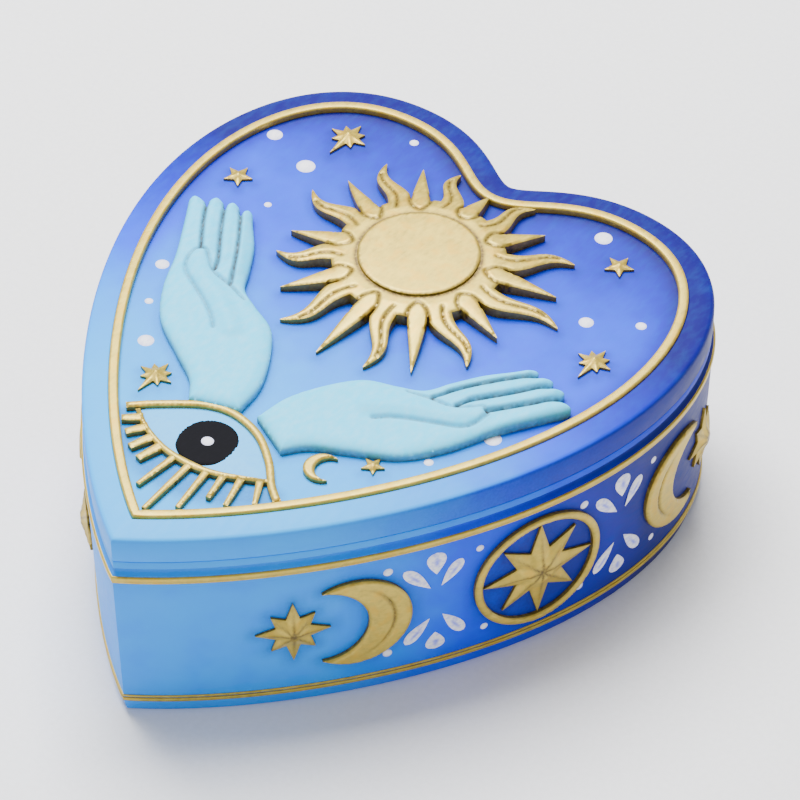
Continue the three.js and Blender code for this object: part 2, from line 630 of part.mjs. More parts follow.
function bedplate() {
  const y = BED.y / 2;
  const ledgeTop = DRUM_Z - COMB.thickness / 2;
  const ledge = box(DRUM.start, DRUM_END, COMB_HEEL_Y, COMB_HEEL_Y + LEDGE_DEPTH, 0, ledgeTop);
  const post = box(POST_X, POST_X + SHEET, -4, 4, 0, DRUM_Z + 3);
  return cut(
    join(box(BED.start, BED_END, -y, y, 0, BED.z), post, ledge),
    axle(DRUM_ARBOR_RADIUS + RUNNING, POST_X - 1, POST_X + SHEET + 1, 0, DRUM_Z),
    rod(ARBOR_RADIUS + RUNNING, -1, BED.z + 1, BARREL.x, 0),
    ...BED_SCREWS.map(([a, b]) => rod(SCREW.radius + RUNNING, -1, BED.z + 1, a, b, 20)),
    ...COMB_SCREWS.map(([a, b]) => rod(SMALL_SCREW.radius + RUNNING, DRUM_Z - 5, DRUM_Z + 1, a, b, 16)),
  );
}

function springHousing() {
  const top = BED.z + BARREL.height;
  return cut(
    rod(BARREL.radius, BED.z, top, BARREL.x, 0, 40),
    rod(BARREL.radius - BARREL.wall, BED.z - 1, top - BARREL.wall, BARREL.x, 0, 40),
    rod(ARBOR_RADIUS + RUNNING, BED.z, top + 1, BARREL.x, 0),
  );
}

function mainspring() {
  const outer = [];
  const inner = [];
  const steps = SPIRAL.turns * 18;
  const room = BARREL.radius - BARREL.wall - RELIEF_GAP - SPIRAL.strip - SPIRAL.start;
  for (let i = 0; i <= steps; i++) {
    const angle = (i / 18) * 2 * Math.PI;
    const radius = SPIRAL.start + (room * i) / steps;
    outer.push([(radius + SPIRAL.strip) * Math.cos(angle), (radius + SPIRAL.strip) * Math.sin(angle)]);
    inner.unshift([radius * Math.cos(angle), radius * Math.sin(angle)]);
  }
  return prism(polygon([...outer, ...inner]), SPIRAL.height).translate(BARREL.x, 0, BED.z + RELIEF_GAP);
}

function crownGear() {
  const pitch = (2 * Math.PI) / CROWN.teeth;
  const disc = new THREE.Shape().absarc(0, 0, CROWN.radius, 0, 2 * Math.PI);
  disc.holes.push(new THREE.Path().absarc(0, 0, ARBOR_RADIUS + RUNNING, 0, 2 * Math.PI, true));
  const half = CROWN_PITCH_RADIUS * pitch;
  const [foot, tip] = [0.25 * half, 0.11 * half];
  const tooth = polygon([[-foot, 0], [foot, 0], [tip, CROWN.tooth], [-tip, CROWN.tooth]]);
  const teeth = Array.from({ length: CROWN.teeth }, (_, i) =>
    prism(tooth, CROWN.toothLength)
      .rotateX(Math.PI / 2)
      .rotateZ(Math.PI / 2)
      .translate(CROWN.radius - CROWN.toothLength, 0, CROWN.disc)
      .rotateZ(i * pitch),
  );
  const sunk = teeth.map((piece) => piece.translate(0, 0, -GLUE_GAP));
  return join(prism(disc, CROWN.disc, 16), ...sunk).translate(BARREL.x, 0, CROWN_Z);
}

const KEY_BOTTOM = KEY.clear - FLOOR_TOP;
const KEY_TOP = -FLOOR_THICKNESS - 1;
const ARBOR_BOTTOM = KEY_TOP - KEY.hubHeight / 2;

const windingArbor = () => rod(ARBOR_RADIUS, ARBOR_BOTTOM, CROWN_Z + CROWN.disc + CROWN.tooth, BARREL.x, 0);

function windingKey() {
  const wings = new THREE.Shape().absarc(0, 0, KEY.wing, 0, 2 * Math.PI);
  wings.holes.push(new THREE.Path().absarc(0, 0, KEY.hole, 0, 2 * Math.PI, true));
  const wing = (side) =>
    prism(wings, KEY.thickness, 8)
      .rotateX(Math.PI / 2)
      .translate(side * KEY.spread, KEY.thickness / 2, KEY_BOTTOM + KEY.wing);
  const hub = rod(KEY.hub, KEY_TOP - KEY.hubHeight, KEY_TOP);
  const socket = rod(ARBOR_RADIUS + RUNNING, ARBOR_BOTTOM - RUNNING, KEY_TOP + 1);
  return cut(join(hub, wing(-1), wing(1)), socket).translate(BARREL.x, 0, 0);
}

const TRACK = DRUM.length / DRUM.tracks;

// The pinned cylinder: each track has its pins at places that follow a fixed rule.
function tuneCylinder() {
  const pins = [];
  for (let track = 0; track < DRUM.tracks; track++) {
    for (let i = 0; i < DRUM.pinsPerTrack; i++) {
      const x = DRUM.start + (track + 0.5) * TRACK;
      const angle = 2 * Math.PI * ((0.382 * track + i / DRUM.pinsPerTrack + 0.07 * i * i + 0.11) % 1);
      const half = DRUM.pinWidth / 2;
      const pin = box(-half, half, -half, half, DRUM.radius - 1, DRUM.radius + DRUM.pin);
      pins.push(pin.rotateX(angle).translate(x, 0, DRUM_Z));
    }
  }
  const tube = axle(DRUM.radius, DRUM.start, DRUM_END, 0, DRUM_Z, 36);
  const bore = axle(DRUM_ARBOR_RADIUS + RUNNING, DRUM.start - 1, DRUM_END + 1, 0, DRUM_Z);
  return cut(join(tube, ...pins), bore);
}

const PINION_START = PINION_X - PINION.width / 2;
const cylinderArbor = () =>
  axle(DRUM_ARBOR_RADIUS, PINION_START, FRAME_X + SHEET + RELIEF_GAP, 0, DRUM_Z);
const cylinderPinion = () =>
  gear(
    PINION.teeth, CROWN_MODULE, DRUM_ARBOR_RADIUS + RUNNING,
    PINION_START, PINION_START + PINION.width, 0, DRUM_Z,
    -Math.PI / 2 + Math.PI / PINION.teeth,
  );
const MESH_ANGLE = Math.atan2(-GOVERNOR_DROP, GOVERNOR_Y);
const greatWheel = () =>
  gear(GREAT_TEETH, MODULE, DRUM_ARBOR_RADIUS + RUNNING, GREAT_X, GREAT_X + SHEET, 0, DRUM_Z, MESH_ANGLE);

function governorFrame() {
  const end = FRAME_X + FRAME_WIDTH;
  const back = BED.y / 2 - 0.5;
  const top = BRIDGE_Z + SHEET;
  const plate = (x, front, high) => {
    const side = polygon([
      [front, BED.z], [back, BED.z], [back, top], [GOVERNOR_Y, top], [front + 8, high], [front, high],
    ]);
    return prism(side, SHEET).rotateX(Math.PI / 2).rotateZ(Math.PI / 2).translate(x, 0, 0);
  };
  const bridge = (z) => box(FRAME_X, end, WORM_Y - 1.8, back, z, z + SHEET);
  const plates = [plate(FRAME_X, -4, DRUM_Z + 2.6), plate(end - SHEET, GOVERNOR_Y - 8, top)];
  return cut(
    join(...plates, bridge(BRIDGE_Z), bridge(BED.z)),
    axle(DRUM_ARBOR_RADIUS + RUNNING, FRAME_X - 1, FRAME_X + SHEET + 1, 0, DRUM_Z),
    axle(GOVERNOR_ARBOR_RADIUS + RUNNING, FRAME_X - 1, end + 1, GOVERNOR_Y, GOVERNOR_Z, 16),
    rod(WORM_ARBOR_RADIUS + RUNNING, BED.z + 0.3, top + 1, WORM_X, WORM_Y, 16),
  );
}

const governorArbor = () =>
  axle(GOVERNOR_ARBOR_RADIUS, GREAT_X - 0.2, FRAME_X + FRAME_WIDTH - RUNNING, GOVERNOR_Y, GOVERNOR_Z, 16);
const governorPinion = () =>
  gear(
    GOVERNOR_PINION_TEETH, MODULE, GOVERNOR_ARBOR_RADIUS + RUNNING,
    GREAT_X, GREAT_X + SHEET, GOVERNOR_Y, GOVERNOR_Z,
    MESH_ANGLE + Math.PI + Math.PI / GOVERNOR_PINION_TEETH,
  );
const wormWheel = () =>
  gear(
    WORM_WHEEL_TEETH, MODULE, GOVERNOR_ARBOR_RADIUS + RUNNING,
    WORM_X - 0.5, WORM_X + 0.5, GOVERNOR_Y, GOVERNOR_Z, 0,
  );

// A right-hand worm, with its thread half a pitch above the tooth that it meets.
function worm() {
  const start = GOVERNOR_Z + (WORM_PITCH * 3) / 4;
  const steps = WORM.turns * 7;
  const ring = (radiusAt, z) =>
    Array.from({ length: 12 }, (_, i) => {
      const angle = (i / 12) * 2 * Math.PI;
      const radius = radiusAt(angle, z);
      return new THREE.Vector3(WORM_X + radius * Math.cos(angle), WORM_Y + radius * Math.sin(angle), z);
    });
  const thread = (angle, z) => {
    const turn = (z - start) / WORM_PITCH - angle / (2 * Math.PI);
    const away = Math.abs(turn - Math.round(turn));
    return WORM.root + (WORM.outer - WORM.root) * THREE.MathUtils.clamp((0.24 - away) / 0.12, 0, 1);
  };
  const arbor = () => WORM_ARBOR_RADIUS;
  const rings = [ring(arbor, BED.z + 0.4), ring(arbor, GOVERNOR_Z - WORM_HALF)];
  for (let i = 0; i <= steps; i++) {
    rings.push(ring(thread, GOVERNOR_Z - WORM_HALF + (2 * WORM_HALF * i) / steps));
  }
  rings.push(ring(arbor, GOVERNOR_Z + WORM_HALF), ring(arbor, FLY_Z + FLY.height - 1));
  return skin(rings);
}

function airBrake() {
  const blades = box(-FLY.radius, FLY.radius, -FLY.blade / 2, FLY.blade / 2, 0, FLY.height);
  const disc = rod(FLY.disc, FLY.height - GLUE_GAP, FLY.height + FLY.discHeight);
  const bore = rod(WORM_ARBOR_RADIUS + RUNNING, -1, FLY.height - 1 + RUNNING, 0, 0, 16);
  return cut(join(blades, rod(FLY.hub, 0, FLY.height), disc), bore).translate(WORM_X, WORM_Y, FLY_Z);
}

// The comb: each slot reaches further back than the last, so that the teeth sound lower and lower.
function tunedComb() {
  const outline = [[DRUM.start, COMB_HEEL_Y], [DRUM_END, COMB_HEEL_Y], [DRUM_END, COMB_TIP_Y]];
  for (let i = DRUM.tracks - 1; i > 0; i--) {
    const x = DRUM.start + i * TRACK;
    const depth = THREE.MathUtils.mapLinear(i, 1, DRUM.tracks - 1, COMB.longest, COMB.shortest);
    outline.push([x + COMB.slot / 2, COMB_TIP_Y], [x + COMB.slot / 2, COMB_TIP_Y - depth]);
    outline.push([x - COMB.slot / 2, COMB_TIP_Y - depth], [x - COMB.slot / 2, COMB_TIP_Y]);
  }
  outline.push([DRUM.start, COMB_TIP_Y]);
  const shape = polygon(outline);
  for (const [x, y] of COMB_SCREWS) {
    shape.holes.push(new THREE.Path().absarc(x, y, SMALL_SCREW.radius + RUNNING, 0, 2 * Math.PI, true));
  }
  return prism(shape, COMB.thickness - GLUE_GAP, 8).translate(0, 0, DRUM_Z - COMB.thickness / 2 + GLUE_GAP);
}

// A screw with its head upwards, standing on z and reaching down by length.
function screw(size, length, x, y, z) {
  const slot = box(-size.head, size.head, -0.3, 0.3, size.headHeight * 0.55, size.headHeight + 1);
  const blank = join(rod(size.head, 0, size.headHeight, 0, 0, 20), rod(size.radius, -length, GLUE_GAP, 0, 0, 16));
  return cut(blank, slot).translate(x, y, z);
}

const bedScrew = ([x, y]) =>
  screw(SCREW, FLOOR_THICKNESS + BED.z - 0.4, 0, 0, 0)
    .rotateX(Math.PI)
    .translate(x, y, -FLOOR_THICKNESS - GLUE_GAP);
const combScrew = ([x, y]) => screw(SMALL_SCREW, 4, x, y, DRUM_Z + COMB.thickness / 2 + GLUE_GAP);
const coverScrew = ([x, y]) => screw(SMALL_SCREW, FLOOR_THICKNESS, x, y, COVER.earHeight + GLUE_GAP);

function movementCover() {
  const y = COVER_Y;
  const [start, end, ear] = [COVER_START, COVER_END, COVER.ear];
  return cut(
    join(
      box(start, end, -y, y, GLUE_GAP, COVER_TOP),
      box(start - ear, end + ear, -ear / 2, ear / 2, GLUE_GAP, COVER.earHeight),
    ),
    box(start + COVER.wall, end - COVER.wall, -y + COVER.wall, y - COVER.wall, -1, COVER_INSIDE),
    rod(PLUNGER.radius + 2 * RUNNING, 0, COVER_TOP + 1, WORM_X, WORM_Y),
    ...COVER_SCREWS.map(([a, b]) => rod(SMALL_SCREW.radius + RUNNING, -1, COVER.earHeight + 1, a, b, 16)),
  );
}

const CAP_BOTTOM = CAP_TOP - PLUNGER.capHeight;
const stopPlunger = () =>
  join(
    rod(PLUNGER.radius, FOOT_Z, CAP_TOP - PLUNGER.capHeight / 2, WORM_X, WORM_Y),
    rod(PLUNGER.foot, FOOT_Z, FOOT_Z + PLUNGER.footHeight, WORM_X, WORM_Y),
  );
const plungerPad = () => rod(PLUNGER.foot, FOOT_Z - PLUNGER.pad, FOOT_Z - GLUE_GAP, WORM_X, WORM_Y);
const plungerCap = () =>
  cut(
    rod(PLUNGER.cap, CAP_BOTTOM, CAP_TOP, WORM_X, WORM_Y, 28),
    rod(PLUNGER.radius + RUNNING, CAP_BOTTOM - 1, CAP_TOP - PLUNGER.capHeight / 2 + RUNNING, WORM_X, WORM_Y),
  );

function plungerSpring() {
  const low = COVER_TOP + COIL.wire + GLUE_GAP;
  const high = CAP_BOTTOM - COIL.wire - GLUE_GAP;
  const points = Array.from({ length: COIL.turns * 10 + 1 }, (_, i) => {
    const angle = (i / 10) * 2 * Math.PI;
    const z = THREE.MathUtils.lerp(low, high, i / (COIL.turns * 10));
    return new THREE.Vector3(WORM_X + COIL.radius * Math.cos(angle), WORM_Y + COIL.radius * Math.sin(angle), z);
  });
  const path = new THREE.CatmullRomCurve3(points);
  const wire = new THREE.Shape().absarc(0, 0, COIL.wire, 0, 2 * Math.PI);
  return new THREE.ExtrudeGeometry(wire, { steps: COIL.turns * 10, extrudePath: path, curveSegments: 3 });
}

// ---------------------------------------------------------------- the assembly
const musicBox = new THREE.Group();
musicBox.name = "music_box";

function add(group, name, geometry, material) {
  const mesh = new THREE.Mesh(geometry, material);
  mesh.name = name;
  group.add(mesh);
}

add(musicBox, "box_body", caseBody(), BLUE_RESIN);
add(musicBox, "lid", caseLid(), BLUE_RESIN);
add(musicBox, "tray_lining", liningPlate(), FELT_BLUE);
add(musicBox, "base_bead", beadOnWall(PLINTH.height), GILT);
add(musicBox, "upper_bead", beadOnWall(MOULDING_Z), GILT);
add(musicBox, "lid_bead", lidBead(), GILT);
add(musicBox, "sun_rays", sunRays(), GILT);
const sunDisc = rod(SUN.disc, SUN.rise + GLUE_GAP, SUN.rise + SUN.discRise, 0, 0, 36);
add(musicBox, "sun_disc", onPanel(shrunk(sunDisc), 0, SUN.y * LONG), GILT);
add(musicBox, "left_hand", leftHand(), PALE_BLUE);
add(musicBox, "right_hand", rightHand(), PALE_BLUE);
add(musicBox, "eye_frame", eyeFrame(), GILT);
add(musicBox, "eye_ball", eyeBall(), PALE_BLUE);
add(musicBox, "eye_pupil", eyePupil(), BLACK_PAINT);
add(musicBox, "eye_lashes", eyeLashes(), GILT);
for (const [name, ...size] of PANEL_STARS) add(musicBox, name, panelStar(...size), GILT);
const skyMoon = crescent(4.6, 3.9, -2.1, STAR_RISE, 6).rotateZ(Math.PI + 0.3);
add(musicBox, "sky_moon", onPanel(skyMoon, 25 * WIDE, -37 * LONG), GILT);

const FRIEZE = { star: 63, moon: 48, starRadius: 9.8 };
const MOON = { radius: 14.2, inner: 11.8, shift: 8.2 };
const ringAlong = RING.share * WALL_TABLE.at(-1).along;
for (const [sideName, side] of [["right", 1], ["left", -1]]) {
  for (const [place, from, turn] of [["front", -1, 0], ["back", 1, Math.PI]]) {
    const radii = eightPoints(FRIEZE.starRadius, 0.84);
    const smallStar = star(radii, FRIEZE.starRadius * 0.48, FRIEZE_RISE * 0.4, FRIEZE_RISE * 1.3);
    const moon = crescent(MOON.radius, MOON.inner, -MOON.shift, FRIEZE_RISE).rotateZ(turn);
    const starName = `${sideName}_${place}_star`;
    add(musicBox, starName, wrapped(smallStar, ringAlong + from * FRIEZE.star, side), GILT);
    add(musicBox, `${sideName}_${place}_moon`, wrapped(moon, ringAlong + from * FRIEZE.moon, side), GILT);
  }
  add(musicBox, `${sideName}_ring_star`, wrapped(ringStar(), ringAlong, side), GILT);
}

const movement = new THREE.Group();
movement.position.set(0, MOVEMENT_Y, FLOOR_TOP);
musicBox.add(movement);
add(movement, "bedplate", bedplate(), ZINC);
add(movement, "spring_housing", springHousing(), ZINC);
add(movement, "mainspring", mainspring(), STEEL);
add(movement, "winding_arbor", windingArbor(), STEEL);
add(movement, "crown_gear", crownGear(), BRASS);
add(movement, "winding_key", windingKey(), BRASS);
add(movement, "tune_cylinder", tuneCylinder(), BRASS);
add(movement, "cylinder_arbor", cylinderArbor(), STEEL);
add(movement, "cylinder_pinion", cylinderPinion(), BRASS);
add(movement, "great_wheel", greatWheel(), BRASS);
add(movement, "governor_frame", governorFrame(), ZINC);
add(movement, "governor_arbor", governorArbor(), STEEL);
add(movement, "governor_pinion", governorPinion(), STEEL);
add(movement, "worm_wheel", wormWheel(), BRASS);
add(movement, "worm", worm(), STEEL);
add(movement, "air_brake", airBrake(), BRASS);
add(movement, "tuned_comb", tunedComb(), STEEL);
add(movement, "movement_cover", movementCover(), CLEAR_PLASTIC);
add(movement, "stop_plunger", stopPlunger(), STEEL);
add(movement, "plunger_pad", plungerPad(), PAD_FELT);
add(movement, "plunger_cap", plungerCap(), BRASS);
add(movement, "plunger_spring", plungerSpring(), STEEL);
BED_SCREWS.forEach((place, i) => add(movement, `bed_screw_${i + 1}`, bedScrew(place), STEEL));
COMB_SCREWS.forEach((place, i) => add(movement, `comb_screw_${i + 1}`, combScrew(place), STEEL));
COVER_SCREWS.forEach((place, i) => add(movement, `cover_screw_${i + 1}`, coverScrew(place), STEEL));

export default musicBox;
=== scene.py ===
"""Finish for the heart-shaped wind-up music box: painted resin case, gilt relief, felt tray and brass movement.

Lengths in the working functions are millimetres in the frame of the model; mesh data is written in metres.
"""
import math

import bmesh
import bpy
import numpy as np
from bpy.props import FloatProperty, FloatVectorProperty, PointerProperty
from mathutils import Matrix, Vector, geometry


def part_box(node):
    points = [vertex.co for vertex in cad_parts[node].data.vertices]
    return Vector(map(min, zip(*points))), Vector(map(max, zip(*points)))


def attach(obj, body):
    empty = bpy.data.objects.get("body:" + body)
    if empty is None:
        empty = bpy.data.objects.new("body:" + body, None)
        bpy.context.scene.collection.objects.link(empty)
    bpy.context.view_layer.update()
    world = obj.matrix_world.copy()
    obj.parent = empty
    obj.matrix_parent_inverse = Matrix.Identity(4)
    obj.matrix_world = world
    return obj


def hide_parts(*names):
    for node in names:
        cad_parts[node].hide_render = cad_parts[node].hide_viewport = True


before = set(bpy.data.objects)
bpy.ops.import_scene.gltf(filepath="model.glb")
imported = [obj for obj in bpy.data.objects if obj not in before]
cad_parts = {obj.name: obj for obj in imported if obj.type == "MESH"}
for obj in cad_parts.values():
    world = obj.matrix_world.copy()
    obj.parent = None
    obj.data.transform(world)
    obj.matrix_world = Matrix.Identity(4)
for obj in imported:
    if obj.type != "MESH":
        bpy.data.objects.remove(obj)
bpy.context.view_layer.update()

bl_info = {
    "name": "Heart Music Box",
    "version": (1, 0, 0),
    "blender": (4, 5, 0),
    "location": "View3D > Sidebar > Music Box",
    "description": "Builds the painted case, relief and movement finish of a heart-shaped music box",
    "category": "Add Mesh",
}

MM = 0.001
GLUE = 0.05


# ---------------------------------------------------------------- places read from the frame
def low(node):
    """Lowest corner of a node of the frame, in millimetres."""
    return np.array(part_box(node)[0]) / MM


def high(node):
    """Highest corner of a node of the frame, in millimetres."""
    return np.array(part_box(node)[1]) / MM


def middle(node):
    """Centre of a node of the frame, in millimetres."""
    return (low(node) + high(node)) / 2


BODY_TOP = high("box_body")[2]
LID_LOW = low("lid")[2]
MARGIN_TOP = high("lid")[2]
PANEL_Z = low("sun_rays")[2] - GLUE
PLINTH_TOP = low("base_bead")[2] - GLUE
UPPER_BEAD = low("upper_bead")[2] - GLUE
BEAD_TOP = high("upper_bead")[2]
FRIEZE_Z = middle("right_ring_star")[2]
HALF_WIDTH = high("lid")[0]
HALF_LENGTH = high("lid")[1]


# ---------------------------------------------------------------- sizes and colours
def channel(value):
    """One sRGB channel, 0 to 1, as linear light."""
    return value / 12.92 if value <= 0.04045 else ((value + 0.055) / 1.055) ** 2.4


def linear(code, alpha=1.0):
    """An sRGB hex colour as linear RGBA."""
    parts = [int(code[i : i + 2], 16) / 255 for i in (1, 3, 5)]
    return (*[channel(p) for p in parts], alpha)


def length(name, description, default):
    """A length property with its default in millimetres."""
    return FloatProperty(name=name, description=description, default=default * MM, unit="LENGTH", precision=4)


def paint(name, description, code):
    """A colour property with its default as an sRGB hex code."""
    return FloatVectorProperty(
        name=name, description=description, default=linear(code)[:3], subtype="COLOR", min=0, max=1
    )


class MusicBoxSizes(bpy.types.PropertyGroup):
    """Sizes of the case, its beads and its relief."""

    lid_margin: length("Lid margin", "Width of the sloping margin outside the gilt border", 6.5)
    border_width: length("Border width", "Width of the gilt border on the lid", 2.5)
    border_height: length("Border height", "Height of the gilt border's section", 2.2)
    bead_width: length("Bead width", "Width of the beads round the sides", 1.7)
    foot_inset: length("Foot inset", "How far the foot of the side wall stands in from the lid's edge", 0.9)
    head_inset: length("Head inset", "The same at the top of the wall, where it leans past the edge", -0.3)
    rim_inset: length("Rim inset", "How far the rim under the lid stands in", 0.2)
    wall: length("Rim wall", "Thickness of the case at its rim", 6.8)
    sun_disc: length("Sun disc", "Radius of the raised disc", 15.3)
    sun_rise: length("Sun rise", "Height of the rays at their roots above the panel", 3.9)
    tip_rise: length("Ray tip rise", "Height of the rays at their tips above the panel", 1.2)
    hand_rise: length("Hand rise", "Height of the hands above the panel", 3.2)
    star_rise: length("Star rise", "Height of the small stars above the panel", 1.5)
    frieze_rise: length("Frieze rise", "Height of the ornaments on the sides", 1.5)
    paint_dot: length("Paint thickness", "Height of a painted dot", 0.22)
    detail: length("Detail", "Spacing of the mesh on the relief", 0.5)


class MusicBoxColours(bpy.types.PropertyGroup):
    """Paint colours, from the point of the heart to its lobes."""

    tip: paint("Point blue", "Palest blue, at the point of the heart", "#00adff")
    sky: paint("Sky blue", "Blue of the lower panel", "#0095fc")
    cornflower: paint("Cornflower", "Blue of the middle panel", "#0046f3")
    periwinkle: paint("Periwinkle", "Blue of the upper panel", "#0318bc")
    violet: paint("Violet", "Blue of the lobes", "#120a6c")
    # This navy is airbrushed inside the rings on the sides; it is also the colour of the painted shade round the
    # relief, in the cove and on the darker sides.
    navy: paint("Airbrush navy", "Deep blue sprayed round the relief", "#132a88")
    gilt: paint("Gilt", "Gold paint where it is thick", "#cbb045")
    # Brown washed into the recesses of the gold, and also the painted shade on its feet, edges and lower faces.
    gilt_wash_and_shade: paint("Gilt wash", "Brown wash in the recesses of the gold", "#4b3812")
    skin: paint("Hands", "Pale blue of the hands", "#38d4ff")
    # Grey washed into the creases of the hands, and also the painted shade between the fingers and along the edges.
    skin_wash_and_shade: paint("Hand wash", "Grey wash in the creases of the hands", "#554d4b")
    white: paint("White", "Painted stars and petals", "#f4f3fb")
    black: paint("Black", "Pupil of the eye", "#08080e")
    felt: paint("Felt", "Felt of the tray", "#1d2d74")


# ---------------------------------------------------------------- the heart outline
TIP_HALF_ANGLE = math.radians(58)
WIDEST_Y = 35
LOBE_TOP_X = 33
CLEFT_Y = 73
PULL = {"tip": 37.5, "side": 47.5, "lobe": 27.5, "lobe_top": 27.5, "cleft": 19, "cleft_round": 5}
CURVE_STEPS = (70, 40, 48)


def heart_curves():
    """Control points of the three Bezier curves of the right half, from the point to the cleft."""
    tip = (0, -HALF_LENGTH)
    widest = (HALF_WIDTH, WIDEST_Y)
    lobe = (LOBE_TOP_X, HALF_LENGTH)
    leave = (math.sin(TIP_HALF_ANGLE) * PULL["tip"], tip[1] + math.cos(TIP_HALF_ANGLE) * PULL["tip"])
    return (
        (tip, leave, (widest[0], widest[1] - PULL["side"]), widest),
        (widest, (widest[0], widest[1] + PULL["lobe"]), (lobe[0] + PULL["lobe_top"], lobe[1]), lobe),
        (lobe, (lobe[0] - PULL["cleft"], lobe[1]), (PULL["cleft_round"], CLEFT_Y), (0, CLEFT_Y)),
    )


def bezier(controls, t):
    """Points and unit tangents of a cubic Bezier curve at the parameters t."""
    a, b, c, d = (np.array(p, float) for p in controls)
    t = np.asarray(t, float)[:, None]
    points = (1 - t) ** 3 * a + 3 * (1 - t) ** 2 * t * b + 3 * (1 - t) * t**2 * c + t**3 * d
    slopes = (1 - t) ** 2 * (b - a) + 2 * (1 - t) * t * (c - b) + t**2 * (d - c)
    return points, slopes / np.linalg.norm(slopes, axis=1, keepdims=True)


def inset_points(controls, t, inset):
    """Points of a curve moved in by inset."""
    points, tangents = bezier(controls, t)
    return points + inset * np.column_stack([-tangents[:, 1], tangents[:, 0]])


def side_start(inset):
    """Parameter at which the inset side curve meets the centre line."""
    t = np.linspace(0, 0.6, 4001)
    x = inset_points(heart_curves()[0], t, inset)[:, 0]
    return t[np.argmax(x >= 0)]


def arc_table():
    """Distance along the half outline against a running parameter, with points and tangents."""
    parts = [bezier(c, np.linspace(0, 1, 400)) for c in heart_curves()]
    points = np.vstack([p for p, _ in parts])
    tangents = np.vstack([t for _, t in parts])
    steps = np.linalg.norm(np.diff(points, axis=0), axis=1)
    return np.concatenate([[0], np.cumsum(steps)]), points, tangents


ALONG, ARC_POINTS, ARC_TANGENTS = arc_table()


def heart_ring(inset):
    """The outline moved in by inset, anticlockwise from the point, with the distance along each half."""
    start = side_start(inset)
    points, along = [], []
    begin = 0.0
    for i, (controls, count) in enumerate(zip(heart_curves(), CURVE_STEPS)):
        t = np.linspace(start, 1, count + 1) if i == 0 else np.linspace(0, 1, count + 1)[1:]
        points.append(inset_points(controls, t, inset))
        table = bezier(controls, np.linspace(0, 1, 400))[0]
        reach = np.concatenate([[0], np.cumsum(np.linalg.norm(np.diff(table, axis=0), axis=1))])
        along.append(begin + np.interp(t, np.linspace(0, 1, 400), reach))
        begin += reach[-1]
    right, far = np.vstack(points), np.concatenate(along)
    right[0, 0] = right[-1, 0] = 0
    left = right[-2:0:-1] * (-1, 1)
    return np.vstack([right, left]), np.concatenate([far, -far[-2:0:-1]])


def wall_inset(z):
    """How far the side wall stands in from the lid's edge at a height."""
    return np.interp(z, (PLINTH_TOP, UPPER_BEAD), (size_of("foot_inset"), size_of("head_inset")))


def arc_at(u):
    """Place and direction of the outline, x, y, tx and ty, at a distance u from the point of the heart."""
    return [np.interp(u, ALONG, column) for column in (*ARC_POINTS.T, *ARC_TANGENTS.T)]


def on_wall(u, z, out, side):
    """Points on the side wall: u along the outline, z up, out from the wall's face."""
    x, y, tx, ty = arc_at(u)
    depth = wall_inset(z) - out
    return np.column_stack([side * (x - ty * depth), y + tx * depth, z])


def wall_facing(u, side):
    """Directions out from the side wall and along it, towards the lobes."""
    _, _, tx, ty = arc_at(u)
    return Vector((side * ty, -tx, 0)).normalized(), Vector((side * tx, ty, 0)).normalized()


# ---------------------------------------------------------------- mesh helpers
# Marks a point of a flat cap, in place of its distance along the outline.
ON_CAP = 999.0
FAR = 1e9
BATCH = 4000
# Shares of the spacing: between rows of the grid, and kept clear along an outline.
ROW_STEP = 0.87
CLEAR_OF_EDGE = 0.55
# Painted shade on the foot of a relief, where it meets its ground.
FOOT_SHADE = 0.85


def size_of(name):
    """One of the sizes, in millimetres."""
    return getattr(bpy.context.scene.music_box_sizes, name) / MM


def colours():
    """The paint colours."""
    return bpy.context.scene.music_box_colours


def smooth(value):
    """Smooth step of a value clamped to 0..1."""
    value = np.clip(value, 0, 1)
    return value * value * (3 - 2 * value)


def linked(name, data):
    """A new object with this data, linked to the scene."""
    thing = bpy.data.objects.new(name, data)
    bpy.context.scene.collection.objects.link(thing)
    return thing


def new_piece(name, points, faces, attributes=None, angle=38, weld=0.0):
    """A mesh object from points in millimetres, shaded smooth but for edges sharper than angle."""
    mesh = bpy.data.meshes.new(name)
    mesh.from_pydata((np.asarray(points) * MM).tolist(), [], faces)
    for key, values in (attributes or {}).items():
        layer = mesh.attributes.new(key, "FLOAT", "POINT")
        layer.data.foreach_set("value", np.asarray(values, np.float32))
    work = bmesh.new()
    work.from_mesh(mesh)
    if weld:
        bmesh.ops.remove_doubles(work, verts=work.verts, dist=weld * MM)
    bmesh.ops.recalc_face_normals(work, faces=work.faces)
    work.to_mesh(mesh)
    work.free()
    mesh.shade_smooth()
    mesh.set_sharp_from_angle(angle=math.radians(angle))
    return linked(name, mesh)


def keep_result(piece):
    """Replaces a piece's mesh with what its modifiers make of it."""
    bpy.context.view_layer.update()
    evaluated = piece.evaluated_get(bpy.context.evaluated_depsgraph_get())
    mesh = bpy.data.meshes.new_from_object(evaluated)
    piece.modifiers.clear()
    piece.data = mesh


def fit_out(piece, material, body, slot, *nodes):
    """Gives a piece its material and body and hides the nodes of the frame that it stands for; slot is not used."""
    piece.data.materials.clear()
    piece.data.materials.append(material)
    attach(piece, body)
    if nodes:
        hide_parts(*nodes)
    return piece


def gild(piece, body, *nodes):
    """Fits a piece out in gilt paint."""
    return fit_out(piece, finish("gilt"), body, "gilt_paint", *nodes)


def spaced(outline, spacing):
    """A closed outline with points no further apart than spacing."""
    outline = np.asarray(outline, float)
    pieces = []
    for a, b in zip(outline, np.roll(outline, -1, axis=0)):
        count = max(1, int(math.ceil(np.linalg.norm(b - a) / spacing)))
        pieces.append(a + (b - a) * (np.arange(count) / count)[:, None])
    return np.vstack(pieces)


